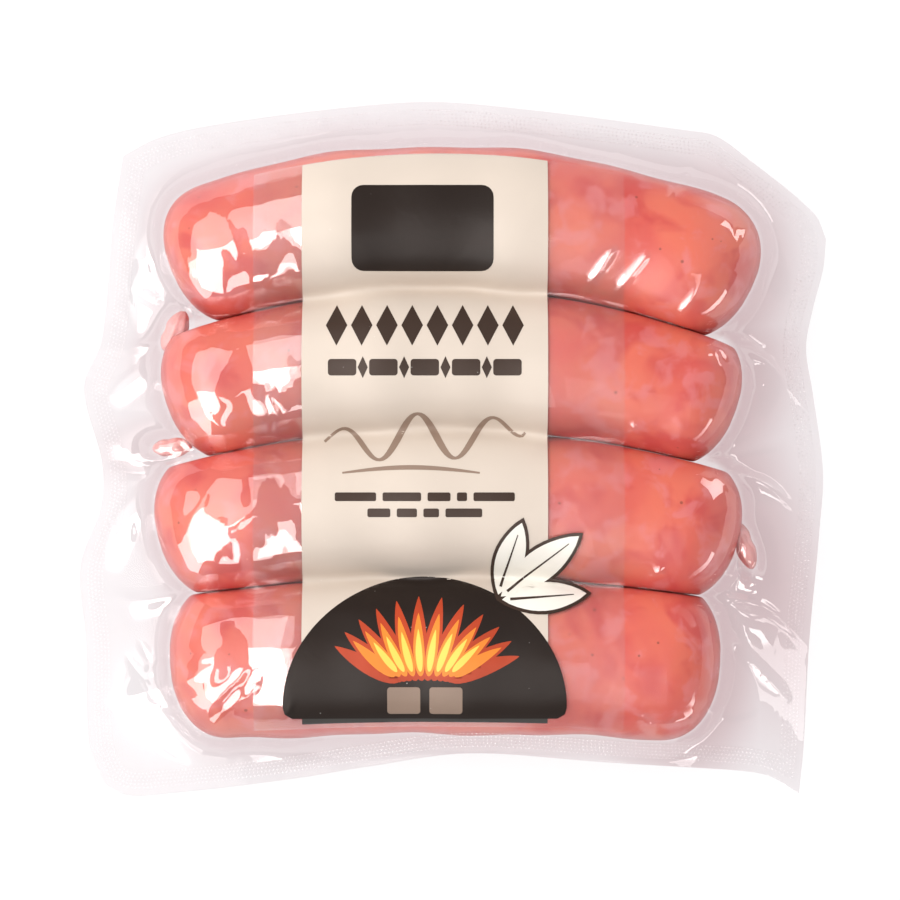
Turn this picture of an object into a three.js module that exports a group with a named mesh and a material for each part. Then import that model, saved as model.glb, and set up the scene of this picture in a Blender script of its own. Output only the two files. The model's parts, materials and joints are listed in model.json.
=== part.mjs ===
// A sealed vacuum pack of four raw sausages that lie side by side, with a label stuck on top.
// Millimetres. +X runs along the sausages, +Y across them towards the back, +Z up.

import * as THREE from "three";

// The sausages, from the front row to the back row. The middle of a row's centre line
// stands `arch` further back than its ends do.
const SAUSAGES = [
  { middleY: -45.5, arch: 2.2, leftTip: -62.9, rightTip: 59.4, halfWidth: 17.8, halfHeight: 16.0 },
  { middleY: -11.7, arch: 8.2, leftTip: -65.6, rightTip: 63.4, halfWidth: 16.9, halfHeight: 15.8 },
  { middleY: 19.6, arch: 10.8, leftTip: -63.8, rightTip: 62.9, halfWidth: 16.2, halfHeight: 15.9 },
  { middleY: 51.0, arch: 14.0, leftTip: -62.6, rightTip: 66.2, halfWidth: 16.3, halfHeight: 15.6 },
];
const ARCH_X = -3; // where every row reaches furthest back
const ARCH_HALF_SPAN = 65; // the arch is measured this far to each side
const CAP_LENGTH = 13; // rounded end of a sausage
const CAP_POWER = 2.2; // above 2 the rounded ends are blunter than an ellipse
const SETTLE = 1.2; // how much the soft undersides flatten on the table
const LUMP = 0.3; // unevenness of the casing
const LUMP_LENGTHS = [41, 19];

// Tied-off casing ends that stick out between the sausages' tips, each a small capsule
const CASING_TAILS = [
  { x: -62.0, y: 0.4, z: 15.5, halfLength: 5.0, halfWidth: 2.4, halfHeight: 3.0, turn: 4 },
  { x: -61.5, y: 26.0, z: 15.0, halfLength: 5.5, halfWidth: 2.8, halfHeight: 3.0, turn: 62 },
  { x: 64.6, y: -21.4, z: 14.5, halfLength: 6.0, halfWidth: 2.4, halfHeight: 3.4, turn: -72 },
];

// The film: where it leaves the sausages and how its sealed border hangs
const FILM_EDGE = 0.8; // thickness of the sealed border
const BORDER_Z = 11.5; // height of the border next to the sausages
const BORDER_DROOP = 2.4; // how far the border has sunk at DROOP_REACH from the sausages
const DROOP_REACH = 16;
const WAVE_HEIGHT = 0.9;
const WAVE_LENGTH = 52;
const WAVE_SKEW = 0.6; // the waves run slantwise: Y counts this much of X
const WAVE_REACH = 8; // the waves are full height this far from the sausages
const LEAVE = 0.93; // the film leaves a sausage here, 1 being its outline seen from above
const WEB_BLEND = 6; // rounding between the film that slopes down from there and the border
const VALLEY_BLEND = 2.4; // rounding of the film in the valleys
const END_BLEND = 6; // the same where the film spans from tip to tip
const PLEAT_HEIGHT = 2.2; // tented pleats that run from each valley to the edge
const PLEAT_HALF_WIDTH = 1.5;
const PLEAT_START = 54; // distance from the middle where a pleat begins to rise
const PLEAT_FULL = 62;
const PLEAT_END = 82;

// The cut edge of the film, seen from above, each side as [position, offset] knots
const FRONT_EDGE = [
  [-77.7, -74.4], [-72.6, -77.03], [-62.9, -76.6], [-33.7, -73.0], [-18.9, -70.6],
  [3.1, -67.5], [32.3, -69.5], [61.6, -71.3], [70.4, -72.8], [77.0, -76.6],
];
const BACK_EDGE = [
  [-73.3, 65.1], [-66.0, 69.0], [-55.7, 71.7], [-29.3, 75.2], [-5.7, 77.2],
  [17.6, 75.2], [52.8, 70.8], [58.7, 69.5], [66.0, 64.2], [80.7, 51.9], [82.9, 46.6],
];
const LEFT_EDGE = [
  [-74.4, -77.7], [-66.0, -80.9], [-43.0, -81.6], [-26.0, -82.77], [-13.0, -78.2],
  [-3.0, -77.9], [13.6, -82.1], [24.0, -78.2], [50.4, -75.5], [65.1, -73.3],
];
const RIGHT_EDGE = [
  [-76.6, 77.0], [-65.6, 78.1], [-42.0, 79.2], [-18.5, 81.4], [-5.0, 82.3],
  [12.3, 80.1], [22.4, 78.6], [31.2, 80.1], [40.0, 82.3], [46.6, 82.9],
];

// The label, a clear sheet that follows the top of the film from flank to flank
const LABEL_LEFT = -43.6;
const LABEL_RIGHT = 37.4;
const LABEL_FRONT = 0.17; // where it begins across the front row, 0 is the row's front edge
const LABEL_BACK = 0.825; // where it ends across the back row, 1 is the row's back edge
const LABEL_THICKNESS = 0.4;
const LABEL_GAP = 0.35;
const LABEL_VALLEY_BLEND = 8; // it spans the valleys with rounder bends than the film

// How finely the surfaces are divided
const ROWS_PER_SAUSAGE = 10;
const ROWS_IN_BORDER = 4;
const BODY_LEFT = -67;
const BODY_RIGHT = 68;
const CAPS_BEGIN = 50;
const COLUMNS_IN_CAP = 11;
const COLUMNS_BETWEEN_CAPS = 18;
const COLUMNS_IN_SIDE = 7;
const LABEL_COLUMNS = 10;
const LABEL_END_ROWS = 8;

const FILM_COLOUR = 0xdd8f80;
const LABEL_COLOUR = 0xe8dcc9;

const mix = THREE.MathUtils.lerp;
const smooth = THREE.MathUtils.smoothstep;

// Small shared functions

function smoothMax(a, b, blend) {
  const overlap = Math.max(0, blend - Math.abs(a - b)) / blend;
  return Math.max(a, b) + (overlap * overlap * blend) / 4;
}

function smoothMin(a, b, blend) {
  return -smoothMax(-a, -b, blend);
}

// A smooth curve through [position, offset] knots
function follow(knots, position) {
  const last = knots.length - 1;
  const slopeAt = (i) => {
    const [before, after] = [knots[Math.max(0, i - 1)], knots[Math.min(last, i + 1)]];
    return (after[1] - before[1]) / (after[0] - before[0]);
  };
  const at = THREE.MathUtils.clamp(position, knots[0][0], knots[last][0]);
  let i = 1;
  while (i < last && at > knots[i][0]) i += 1;
  const span = knots[i][0] - knots[i - 1][0];
  const t = (at - knots[i - 1][0]) / span;
  const ease = t * t * (3 - 2 * t);
  const leave = slopeAt(i - 1) * span * t * (1 - t) * (1 - t);
  const arrive = slopeAt(i) * span * t * t * (t - 1);
  return mix(knots[i - 1][1], knots[i][1], ease) + leave + arrive;
}

// The sausages as arcs

function archRadius(sausage) {
  return (ARCH_HALF_SPAN ** 2 + sausage.arch ** 2) / (2 * sausage.arch);
}

// The y of the line that runs `aside` of a sausage's centre line
function arcY(sausage, x, aside) {
  const radius = archRadius(sausage);
  return sausage.middleY - radius + Math.sqrt((radius + aside) ** 2 - (x - ARCH_X) ** 2);
}

function lump(index, along) {
  const [long, short] = LUMP_LENGTHS.map((length) => (2 * Math.PI * along) / length);
  return LUMP * (Math.sin(long + 1.7 * index) + 0.5 * Math.sin(short + 2.9 * index));
}

// How far out a point is from a sausage's centre line: 1 on its outline seen from above
function reachOfSausage(sausage, index, x, y) {
  const radius = archRadius(sausage);
  const [dx, dy] = [x - ARCH_X, y - sausage.middleY + radius];
  const along = radius * Math.atan2(dx, dy);
  const aside = Math.hypot(dx, dy) - radius;
  const toLeftTip = radius * Math.asin((sausage.leftTip - ARCH_X) / radius);
  const toRightTip = radius * Math.asin((sausage.rightTip - ARCH_X) / radius);
  const intoCap = Math.max(0, along - toRightTip + CAP_LENGTH, toLeftTip + CAP_LENGTH - along);
  const swell = lump(index, along);
  const across = Math.abs(aside) / (sausage.halfWidth + swell);
  const reach = (across ** CAP_POWER + (intoCap / CAP_LENGTH) ** CAP_POWER) ** (1 / CAP_POWER);
  const halfHeight = sausage.halfHeight + swell;
  return { reach, halfHeight, z: sausage.halfHeight - SETTLE, width: sausage.halfWidth };
}

function reachOfTail(tail, x, y) {
  const turn = THREE.MathUtils.degToRad(tail.turn);
  const along = (x - tail.x) * Math.cos(turn) + (y - tail.y) * Math.sin(turn);
  const aside = (y - tail.y) * Math.cos(turn) - (x - tail.x) * Math.sin(turn);
  const reach = Math.hypot(aside / tail.halfWidth, along / tail.halfLength);
  return { reach, halfHeight: tail.halfHeight, z: tail.z, width: tail.halfWidth };
}

function contentsAt(x, y) {
  return [
    ...SAUSAGES.map((sausage, index) => reachOfSausage(sausage, index, x, y)),
    ...CASING_TAILS.map((tail) => reachOfTail(tail, x, y)),
  ];
}

// Height of the film above a rounded thing's middle plane. It hugs the thing out to LEAVE
// and goes straight on from there.
function rise({ reach, halfHeight }) {
  const height = (at) => halfHeight * Math.sqrt(1 - at * at);
  if (reach < LEAVE) return height(reach);
  const slope = (halfHeight * halfHeight * LEAVE) / height(LEAVE);
  return height(LEAVE) - slope * (reach - LEAVE);
}

// The film's border and its pleats

function valleyY(index, x) {
  const [front, back] = [SAUSAGES[index], SAUSAGES[index + 1]];
  const share = front.halfWidth / (front.halfWidth + back.halfWidth);
  return mix(arcY(front, x, 0), arcY(back, x, 0), share);
}

function borderHeight(x, y, contents) {
  const outside = Math.min(...contents.map(({ reach, width }) => (reach - 1) * width));
  const wave = Math.sin((2 * Math.PI * (x + WAVE_SKEW * y)) / WAVE_LENGTH);
  const droop = BORDER_DROOP * smooth(outside, 0, DROOP_REACH);
  return BORDER_Z - droop + WAVE_HEIGHT * wave * smooth(outside, 0, WAVE_REACH);
}

function pleat(x, y) {
  const out = Math.abs(x);
  const rising = smooth(out, PLEAT_START, PLEAT_FULL);
  const fading = 1 - smooth(out, PLEAT_FULL, PLEAT_END);
  let height = 0;
  for (let index = 0; index < SAUSAGES.length - 1; index += 1) {
    const aside = (y - rowLineY(valleyRow(index), x)) / PLEAT_HALF_WIDTH;
    height += PLEAT_HEIGHT * rising * fading * Math.exp(-aside * aside);
  }
  return height;
}

function blendAt(x, valleyBlend) {
  return mix(valleyBlend, END_BLEND, smooth(Math.abs(x), CAPS_BEGIN, -BODY_LEFT));
}

function topHeight(x, y, valleyBlend = VALLEY_BLEND) {
  const contents = contentsAt(x, y);
  const blend = blendAt(x, valleyBlend);
  const heights = contents.map((thing) => thing.z + rise(thing));
  const overContents = heights.reduce((a, b) => smoothMax(a, b, blend));
  const border = borderHeight(x, y, contents) + FILM_EDGE / 2 + pleat(x, y);
  return smoothMax(overContents, border, WEB_BLEND);
}

function bottomHeight(x, y) {
  const contents = contentsAt(x, y);
  const blend = blendAt(x, VALLEY_BLEND);
  const heights = contents.map((thing) => thing.z - rise(thing));
  const underContents = heights.reduce((a, b) => smoothMin(a, b, blend));
  const border = borderHeight(x, y, contents) - FILM_EDGE / 2;
  return Math.max(0, smoothMin(underContents, border, WEB_BLEND / 2));
}

// The lines that the surfaces are divided along. Row positions count from 0 at the front
// edge of the film, a whole number of rows for the border and for each sausage.

const FIRST_ROW = ROWS_IN_BORDER;
const LAST_ROW = FIRST_ROW + SAUSAGES.length * ROWS_PER_SAUSAGE;
const ROW_COUNT = LAST_ROW + ROWS_IN_BORDER;

function valleyRow(index) {
  return FIRST_ROW + (index + 1) * ROWS_PER_SAUSAGE;
}

// The line along one side of a sausage: its own flank at the pack's front or back,
// and the valley that it shares with its neighbour elsewhere
function flankY(index, x) {
  const last = SAUSAGES.length - 1;
  if (index < 0) return arcY(SAUSAGES[0], x, -SAUSAGES[0].halfWidth);
  if (index === last) return arcY(SAUSAGES[last], x, SAUSAGES[last].halfWidth);
  return valleyY(index, x);
}

function plainRowY(row, x) {
  const flank = row <= FIRST_ROW ? -1 : SAUSAGES.length - 1;
  if (row <= FIRST_ROW) return mix(follow(FRONT_EDGE, x), flankY(flank, x), row / FIRST_ROW);
  const intoBorder = (row - LAST_ROW) / ROWS_IN_BORDER;
  if (row >= LAST_ROW) return mix(flankY(flank, x), follow(BACK_EDGE, x), intoBorder);
  const index = Math.min(SAUSAGES.length - 1, Math.floor((row - FIRST_ROW) / ROWS_PER_SAUSAGE));
  const across = (row - FIRST_ROW) / ROWS_PER_SAUSAGE - index;
  const eased = (1 - Math.cos(Math.PI * across)) / 2;
  return mix(flankY(index - 1, x), flankY(index, x), eased);
}

// Where a row meets the left or right edge of the film
function rowEnd(row, edge, bodyX) {
  const [lowest, highest] = [0, ROW_COUNT].map((end) => plainRowY(end, bodyX));
  const share = (plainRowY(row, bodyX) - lowest) / (highest - lowest);
  const y = mix(edge[0][0], edge[edge.length - 1][0], share);
  return new THREE.Vector2(follow(edge, y), y);
}

// A row's y at any x, bent in the side borders so that it ends on the film's edge
function rowLineY(row, x) {
  const plain = plainRowY(row, x);
  if (x > BODY_LEFT && x < BODY_RIGHT) return plain;
  const [edge, bodyX] = x < 0 ? [LEFT_EDGE, BODY_LEFT] : [RIGHT_EDGE, BODY_RIGHT];
  const end = rowEnd(row, edge, bodyX);
  const progress = smooth((x - bodyX) / (end.x - bodyX), 0, 1);
  return plain + progress * (end.y - plainRowY(row, end.x));
}

function evenSteps(from, to, count) {
  return Array.from({ length: count }, (_, step) => mix(from, to, step / count));
}

// The x of every division of a row, from the film's left edge to its right edge
function rowStations(row) {
  const left = rowEnd(row, LEFT_EDGE, BODY_LEFT).x;
  const right = rowEnd(row, RIGHT_EDGE, BODY_RIGHT).x;
  return [
    ...evenSteps(left, BODY_LEFT, COLUMNS_IN_SIDE),
    ...evenSteps(BODY_LEFT, -CAPS_BEGIN, COLUMNS_IN_CAP),
    ...evenSteps(-CAPS_BEGIN, CAPS_BEGIN, COLUMNS_BETWEEN_CAPS),
    ...evenSteps(CAPS_BEGIN, BODY_RIGHT, COLUMNS_IN_CAP),
    ...evenSteps(BODY_RIGHT, right, COLUMNS_IN_SIDE),
    right,
  ];
}

// A closed thin body between two grids of points, `over` and `under`, of the same layout.
// Both are cut along the diagonal that is more level on `over`, so steep ends stay smooth.
function closedSheet(over, under) {
  const rows = over.length;
  const columns = over[0].length;
  const points = [...over.flat(), ...under.flat()];
  const upper = (row, column) => row * columns + column;
  const lower = (row, column) => rows * columns + upper(row, column);
  const faces = [];
  const quad = (a, b, c, d) => faces.push(a, b, c, a, c, d);
  const climb = ([r1, c1], [r2, c2]) => Math.abs(over[r1][c1].z - over[r2][c2].z);
  for (let row = 0; row < rows - 1; row += 1) {
    for (let column = 0; column < columns - 1; column += 1) {
      const corners = [[row, column], [row, column + 1], [row + 1, column + 1], [row + 1, column]];
      if (climb(corners[1], corners[3]) < climb(corners[0], corners[2])) corners.push(corners.shift());
      const [a, b, c, d] = corners;
      quad(upper(...a), upper(...b), upper(...c), upper(...d));
      quad(lower(...a), lower(...d), lower(...c), lower(...b));
    }
    quad(lower(row, 0), upper(row, 0), upper(row + 1, 0), lower(row + 1, 0));
    const end = columns - 1;
    quad(upper(row, end), lower(row, end), lower(row + 1, end), upper(row + 1, end));
  }
  for (let column = 0; column < columns - 1; column += 1) {
    quad(lower(0, column), lower(0, column + 1), upper(0, column + 1), upper(0, column));
    const end = rows - 1;
    quad(upper(end, column), upper(end, column + 1), lower(end, column + 1), lower(end, column));
  }
  const geometry = new THREE.BufferGeometry().setFromPoints(points);
  geometry.setIndex(faces);
  geometry.computeVertexNormals();
  return geometry;
}

// The pack: the film drawn tight over the sausages, out to its sealed border
function packGeometry() {
  const over = [];
  const under = [];
  for (let row = 0; row <= ROW_COUNT; row += 1) {
    const places = rowStations(row).map((x) => [x, rowLineY(row, x)]);
    over.push(places.map(([x, y]) => new THREE.Vector3(x, y, topHeight(x, y))));
    under.push(places.map(([x, y]) => new THREE.Vector3(x, y, bottomHeight(x, y))));
  }
  return closedSheet(over, under);
}

// The label: every point stands off the film along the film's own normal
function labelPoint(x, y, lift) {
  const step = 0.2;
  const height = (px, py) => topHeight(px, py, LABEL_VALLEY_BLEND);
  const slopeX = (height(x + step, y) - height(x - step, y)) / (2 * step);
  const slopeY = (height(x, y + step) - height(x, y - step)) / (2 * step);
  const normal = new THREE.Vector3(-slopeX, -slopeY, 1).normalize();
  return new THREE.Vector3(x, y, height(x, y)).addScaledVector(normal, lift);
}

function labelGeometry() {
  const last = SAUSAGES.length - 1;
  const start = FIRST_ROW + LABEL_FRONT * ROWS_PER_SAUSAGE;
  const end = FIRST_ROW + (last + LABEL_BACK) * ROWS_PER_SAUSAGE;
  const rows = [
    ...evenSteps(start, valleyRow(0), LABEL_END_ROWS),
    ...evenSteps(valleyRow(0), valleyRow(last - 1), (last - 1) * ROWS_PER_SAUSAGE),
    ...evenSteps(valleyRow(last - 1), end, LABEL_END_ROWS),
    end,
  ];
  const stations = [...evenSteps(LABEL_LEFT, LABEL_RIGHT, LABEL_COLUMNS), LABEL_RIGHT];
  const sheet = (lift) => rows.map((row) => stations.map((x) => labelPoint(x, rowLineY(row, x), lift)));
  return closedSheet(sheet(LABEL_GAP + LABEL_THICKNESS), sheet(LABEL_GAP));
}

function part(name, geometry, colour, roughness) {
  const material = new THREE.MeshStandardMaterial({ color: colour, roughness, metalness: 0 });
  const mesh = new THREE.Mesh(geometry, material);
  mesh.name = name;
  return mesh;
}

const pack = new THREE.Group();
pack.add(part("vacuum_pack", packGeometry(), FILM_COLOUR, 0.2));
pack.add(part("label", labelGeometry(), LABEL_COLOUR, 0.35));

export default pack;
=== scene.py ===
"""Builds the looks of a sealed vacuum pack of four raw sausages with a label on top.

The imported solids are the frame. Sizes of the form below are in millimetres, as in the solids,
and become metres where a mesh is made. +X runs along the sausages, +Y towards the back, +Z up.
"""

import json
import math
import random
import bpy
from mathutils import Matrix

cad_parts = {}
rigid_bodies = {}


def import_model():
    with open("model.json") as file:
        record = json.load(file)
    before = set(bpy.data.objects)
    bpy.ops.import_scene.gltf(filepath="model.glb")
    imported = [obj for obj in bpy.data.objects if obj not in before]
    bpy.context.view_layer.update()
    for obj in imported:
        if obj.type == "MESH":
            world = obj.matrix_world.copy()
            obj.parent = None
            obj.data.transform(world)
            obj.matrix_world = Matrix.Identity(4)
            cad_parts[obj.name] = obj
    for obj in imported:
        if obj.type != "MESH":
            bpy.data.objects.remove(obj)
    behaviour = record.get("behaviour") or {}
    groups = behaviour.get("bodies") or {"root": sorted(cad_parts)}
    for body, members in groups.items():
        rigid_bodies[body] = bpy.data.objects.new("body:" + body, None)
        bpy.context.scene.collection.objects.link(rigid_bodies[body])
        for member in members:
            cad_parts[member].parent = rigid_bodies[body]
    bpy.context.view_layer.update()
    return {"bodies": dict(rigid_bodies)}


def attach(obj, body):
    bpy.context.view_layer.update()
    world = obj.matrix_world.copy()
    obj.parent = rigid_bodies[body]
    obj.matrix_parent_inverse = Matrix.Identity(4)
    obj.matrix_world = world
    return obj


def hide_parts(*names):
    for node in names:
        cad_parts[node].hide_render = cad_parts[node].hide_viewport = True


bl_info = {
    "name": "Vacuum pack of sausages",
    "version": (1, 0, 0),
    "blender": (4, 5, 0),
    "location": "View3D > Sidebar > Pack",
    "description": "Film, sausages, label and studio for a vacuum pack",
    "category": "Add Mesh",
}

from collections import namedtuple

import bmesh
import bpy
import numpy as np
from mathutils import Vector, noise

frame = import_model()
BODY = next(iter(frame["bodies"]))
MM = 0.001
FILM_LAYERS = ("juice_and_painted_shade", "dull")  # a value for each point of the film, for its material

# Form of the pack, from the same sizes as the solids

Sausage = namedtuple("Sausage", "middle_y arch left_tip right_tip half_width half_height")
Tail = namedtuple("Tail", "x y z half_length half_width half_height turn")

SAUSAGES = [
    Sausage(-45.5, 2.2, -62.9, 59.4, 17.8, 16.0),
    Sausage(-11.7, 8.2, -65.6, 63.4, 16.9, 15.8),
    Sausage(19.6, 10.8, -63.8, 62.9, 16.2, 15.9),
    Sausage(51.0, 14.0, -62.6, 66.2, 16.3, 15.6),
]
CASING_TAILS = [
    Tail(-62.0, 0.4, 15.5, 5.0, 2.4, 3.0, 4),
    Tail(-61.5, 26.0, 15.0, 5.5, 2.8, 3.0, 62),
    Tail(64.6, -21.4, 14.5, 6.0, 2.4, 3.4, -72),
]
ARCH_X = -3
ARCH_HALF_SPAN = 65
CAP_LENGTH = 13
CAP_POWER = 2.2
SETTLE = 1.2
LUMP = 0.3
LUMP_LENGTHS = (41, 19)
LUMP_TURNS = (1.7, 2.9)

FILM_EDGE = 0.3
BORDER_Z = 11.5
BORDER_DROOP = 2.4
DROOP_REACH = 16
WAVE_HEIGHT = 0.9
WAVE_LENGTH = 52
WAVE_SKEW = 0.6
WAVE_REACH = 8
LEAVE = 0.93
WEB_BLEND = 6
VALLEY_BLEND = 2.4
END_BLEND = 6
PLEAT_HEIGHT = 2.2
PLEAT_HALF_WIDTH = 1.5
PLEAT_START, PLEAT_FULL, PLEAT_END = 54, 62, 82

FRONT_EDGE = [
    (-77.7, -74.4), (-72.6, -77.03), (-62.9, -76.6), (-33.7, -73.0), (-18.9, -70.6),
    (3.1, -67.5), (32.3, -69.5), (61.6, -71.3), (70.4, -72.8), (77.0, -76.6),
]
BACK_EDGE = [
    (-73.3, 65.1), (-66.0, 69.0), (-55.7, 71.7), (-29.3, 75.2), (-5.7, 77.2), (17.6, 75.2),
    (52.8, 70.8), (58.7, 69.5), (66.0, 64.2), (80.7, 51.9), (82.9, 46.6),
]
LEFT_EDGE = [
    (-74.4, -77.7), (-66.0, -80.9), (-43.0, -81.6), (-26.0, -82.77), (-13.0, -78.2),
    (-3.0, -77.9), (13.6, -82.1), (24.0, -78.2), (50.4, -75.5), (65.1, -73.3),
]
RIGHT_EDGE = [
    (-76.6, 77.0), (-65.6, 78.1), (-42.0, 79.2), (-18.5, 81.4), (-5.0, 82.3),
    (12.3, 80.1), (22.4, 78.6), (31.2, 80.1), (40.0, 82.3), (46.6, 82.9),
]
BODY_LEFT, BODY_RIGHT = -67, 68
CAPS_BEGIN = 50
ROWS_PER_SAUSAGE = 10
ROWS_IN_BORDER = 4
FIRST_ROW = ROWS_IN_BORDER
LAST_ROW = FIRST_ROW + len(SAUSAGES) * ROWS_PER_SAUSAGE
ROW_COUNT = LAST_ROW + ROWS_IN_BORDER

LABEL_LEFT, LABEL_RIGHT = -43.6, 37.4
LABEL_FRONT_ROW = FIRST_ROW + 0.17 * ROWS_PER_SAUSAGE
LABEL_BACK_ROW = LAST_ROW - (1 - 0.825) * ROWS_PER_SAUSAGE
LABEL_VALLEY_BLEND = 8
LABEL_HOLD = 0.96  # how much of the creases and ripples the label holds flat
LABEL_EASE = 3  # the film bends into the label's wider valleys over this distance
MARGIN_LEFT, MARGIN_RIGHT = (-37, -34), (21.5, 25)  # where the clear margins ease into the band

# Twisted ends of casing
WAIST_AT, WAIST_WIDTH, WAIST_DEPTH = 0.42, 0.12, 0.18
TAIL_PLEATS, TAIL_TWIST, TAIL_PLEAT_DEPTH = 7, 5, 0.09
TAIL_FILL, TAIL_BLUNTNESS, TAIL_GAP = 0.9, 0.55, 0.5

# Layout of the print, with x measured from the middle of the band but for the sprig
BAND_LEFT, BAND_RIGHT = -33.0, 20.7
BAND_MIDDLE = (BAND_LEFT + BAND_RIGHT) / 2
SLATE_BACK = -42.0
PLATE_LEFT, PLATE_FRONT, PLATE_RIGHT, PLATE_BACK = -16, 38.9, 15, 57.6
TITLE_Y, TITLE_STEP, TITLE_COUNT = 27.0, 5.5, 8
RULE_Y = 17.8
RULE_BARS = (-18, -9, 0, 9, 18)
RULE_LOZENGES = (-13.5, -4.5, 4.5, 13.5)
DASH_LINES = ((-10.4, (9, 8.4, 5, 2.2, 9)), (-13.9, (5, 4.4, 3.4, 8)))  # y and widths
DASH_GAP, DASH_HEIGHT = 1.4, 1.9
DOME_Y, DOME_HALF_WIDTH, DOME_HEIGHT = -56.5, 31, 28.5
DOME_FOOT = ((-30.6, -1.5), (-29, -2.5), (29, -2.5), (30.6, -1.5))
FLAMES = (  # widest turn, steps out and up, length, less at the sides, width, bend
    (66, 6, 6, 18.5, 2.5, 4.6, 1.2),
    (54, 8, 7, 14, 2.5, 3.0, 0.9),
    (42, 9, 8, 9.5, 2, 1.8, 0.5),
)
FLAME_TURN, FLAME_WIDEST = 12, 66
SPRIG = (9.5, -33.0)
LEAVES = ((52, 24, 8.6), (18, 19, 7.6), (86, 21, 7.6))  # turn, length, width

# How finely shapes are divided
CORNER_STEPS = 5
TONGUE_POINTS = 28
LEAF_STEPS = 12
DRAPE_STEPS = (2.0, 0.45)  # along x and y
DRAPE_MARGIN_STEP = 0.5
SEAL_ROWS = 5
EDGE_SPOTS = 80
TAIL_STATIONS, TAIL_SIDES = 26, 28
FILM_ROWS_BORDER = 24
FILM_ROWS_SAUSAGE = 56
FILM_COLUMNS = (46, 30, 10, 84, 24, 30, 46)  # in each stretch from the left edge to the right

# Creases in the film: each has a height and a half width, and runs through its points
Crease = namedtuple("Crease", "height half_width points")


def crease_rows(*rows):
    return [Crease(height, half_width, points) for height, half_width, *points in rows]


CREASES = crease_rows(  # sharp
    (1.7, 0.8, (54.3, -32.8), (60, -40), (67.5, -48.6), (74.1, -55.2)),
    (1.3, 0.6, (56.5, -33.5), (62, -42.5), (66, -50)),
    (0.9, 0.7, (60.5, -29.9), (62, -36), (63.1, -42)),
    (0.9, 0.8, (52.1, -55.2), (57.5, -59), (63.1, -60.1), (69.3, -57.9)),
    (0.6, 0.7, (45, -60.5), (52, -59), (56.5, -54.5)),
    (0.8, 0.8, (41, -58), (44, -62.5)),
    (0.8, 0.8, (57.6, 23.5), (62, 18.5), (67.5, 11.9)),
    (0.6, 0.8, (57.6, 23), (63, 20.5), (69.5, 19)),
    (0.8, 0.8, (57, -5.1), (61.5, -9.5), (66.4, -12.3)),
    (1.2, 0.6, (60, 42), (64, 47), (65.5, 52)),
    (1.3, 0.6, (47.5, 55.5), (53, 62)),
    (0.9, 0.6, (59.8, 38), (62.5, 42), (60.5, 48.5)),
    (0.7, 0.6, (28.6, 32.9), (30.6, 37), (35.4, 43.8)),
    (0.75, 0.6, (34.8, 32.3), (37.6, 36.5), (42.8, 42.6)),
    (0.6, 0.5, (48.2, 26), (50, 30), (53.4, 34.8)),
    (1.7, 0.7, (57, 23.4), (62.6, 27), (66.8, 33.4)),
    (1.4, 0.5, (57, -4.8), (61.6, 4), (63, 11)),
    (1.3, 0.5, (61.6, -29.2), (64.4, -24), (64.8, -17)),
    (1.3, 0.5, (52.5, -60), (57.5, -55), (59.5, -47)),
    (0.5, 0.8, (38.9, 2), (39.6, 5.5)),
    (0.45, 0.9, (42.5, -29.5), (46, -26)),
    (0.7, 0.9, (-57, 29.6), (-51, 26.8), (-46, 27.4)),
    (0.8, 1, (-61, 47), (-57, 36), (-52, 28)),
    (0.6, 0.7, (-57.2, -2), (-45, 1.2), (-36, 3)),
    (0.9, 0.6, (-54.6, -60), (-52.4, -55.2), (-45.1, -48.2), (-40.3, -46.4)),
    (0.7, 0.7, (-46.2, -56.5), (-42, -49)),
    (0.7, 0.7, (-37.4, -60.7), (-33.5, -53)),
    (0.6, 0.6, (-58, -17), (-54.5, -12), (-53, -7.5)),
    (0.5, 0.7, (-56, -12), (-49, -17.5), (-42, -13)),
    (0.6, 0.6, (-58, 15.5), (-55, 10.5), (-52, 5)),
    (0.6, 0.6, (-40, 11), (-38, 6.5), (-39, 2.5)),
    (0.6, 0.7, (-56, 55), (-50, 50), (-47, 44)),
    (0.6, 0.8, (-44, 36), (-38, 38), (-33, 38.5)),
    (0.9, 0.7, (-67, 38), (-61, 31), (-58.5, 24.5)),
    (0.4, 0.8, (-59, 13.5), (-52, 12), (-46, 9)),
    (0.6, 0.7, (-56, -31.4), (-45.5, -31)),
    (0.9, 0.8, (-72, -3), (-64, -3.6), (-58, -3.4)),
    (1.3, 1.1, (-73, -45), (-66, -55), (-55, -66)),
    (1.1, 1.1, (-72, -51), (-60, -47), (-50, -44)),
    (0.9, 1, (-70, -42), (-62, -54), (-54, -57)),
    (1.1, 1, (-74, -58), (-67, -62), (-58, -70)),
    (0.9, 1, (-56, -68), (-52, -60), (-44, -52)),
)
FOLDS = crease_rows(  # soft
    (1, 2.2, (58, 24), (66, 22), (71, 14), (68, 6)),
    (0.9, 2.4, (58, -4), (66, -9), (74, -10)),
    (1, 2.4, (57, -33), (64, -40), (72, -42)),
    (0.7, 3, (68, -14), (70.5, -32)),
    (0.8, 3, (62, 50), (70, 44), (74, 32)),
    (0.6, 2.4, (20, 70.5), (44, 66), (58, 60)),
    (0.8, 2.6, (-66, 50), (-70, 36), (-68, 24)),
    (0.9, 2.2, (-66, 18), (-76, 10)),
    (0.9, 2.6, (-64, -8), (-72, -16), (-76, -28)),
    (1, 2, (-62, -34), (-72, -36)),
    (0.5, 1.6, (-50, -70), (-20, -67), (6, -65.5)),
    (0.6, 2.2, (40, -66), (62, -68)),
    (2, 3, (-75, -56), (-62, -52), (-49, -46.5)),
)
TICKS_BACK = [-34.5, -22.2, -11.7, -4.2, 5.7, 11.9, 35.9]  # short pleats over the back flank
TICKS_FRONT = [-50.0, -28.0, -10.0, 12.0, 41.0]
TICK_LENGTH = 5.0
FAN_CREASES = 5
FAN_SPREAD = 52
SEED = 7


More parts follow.
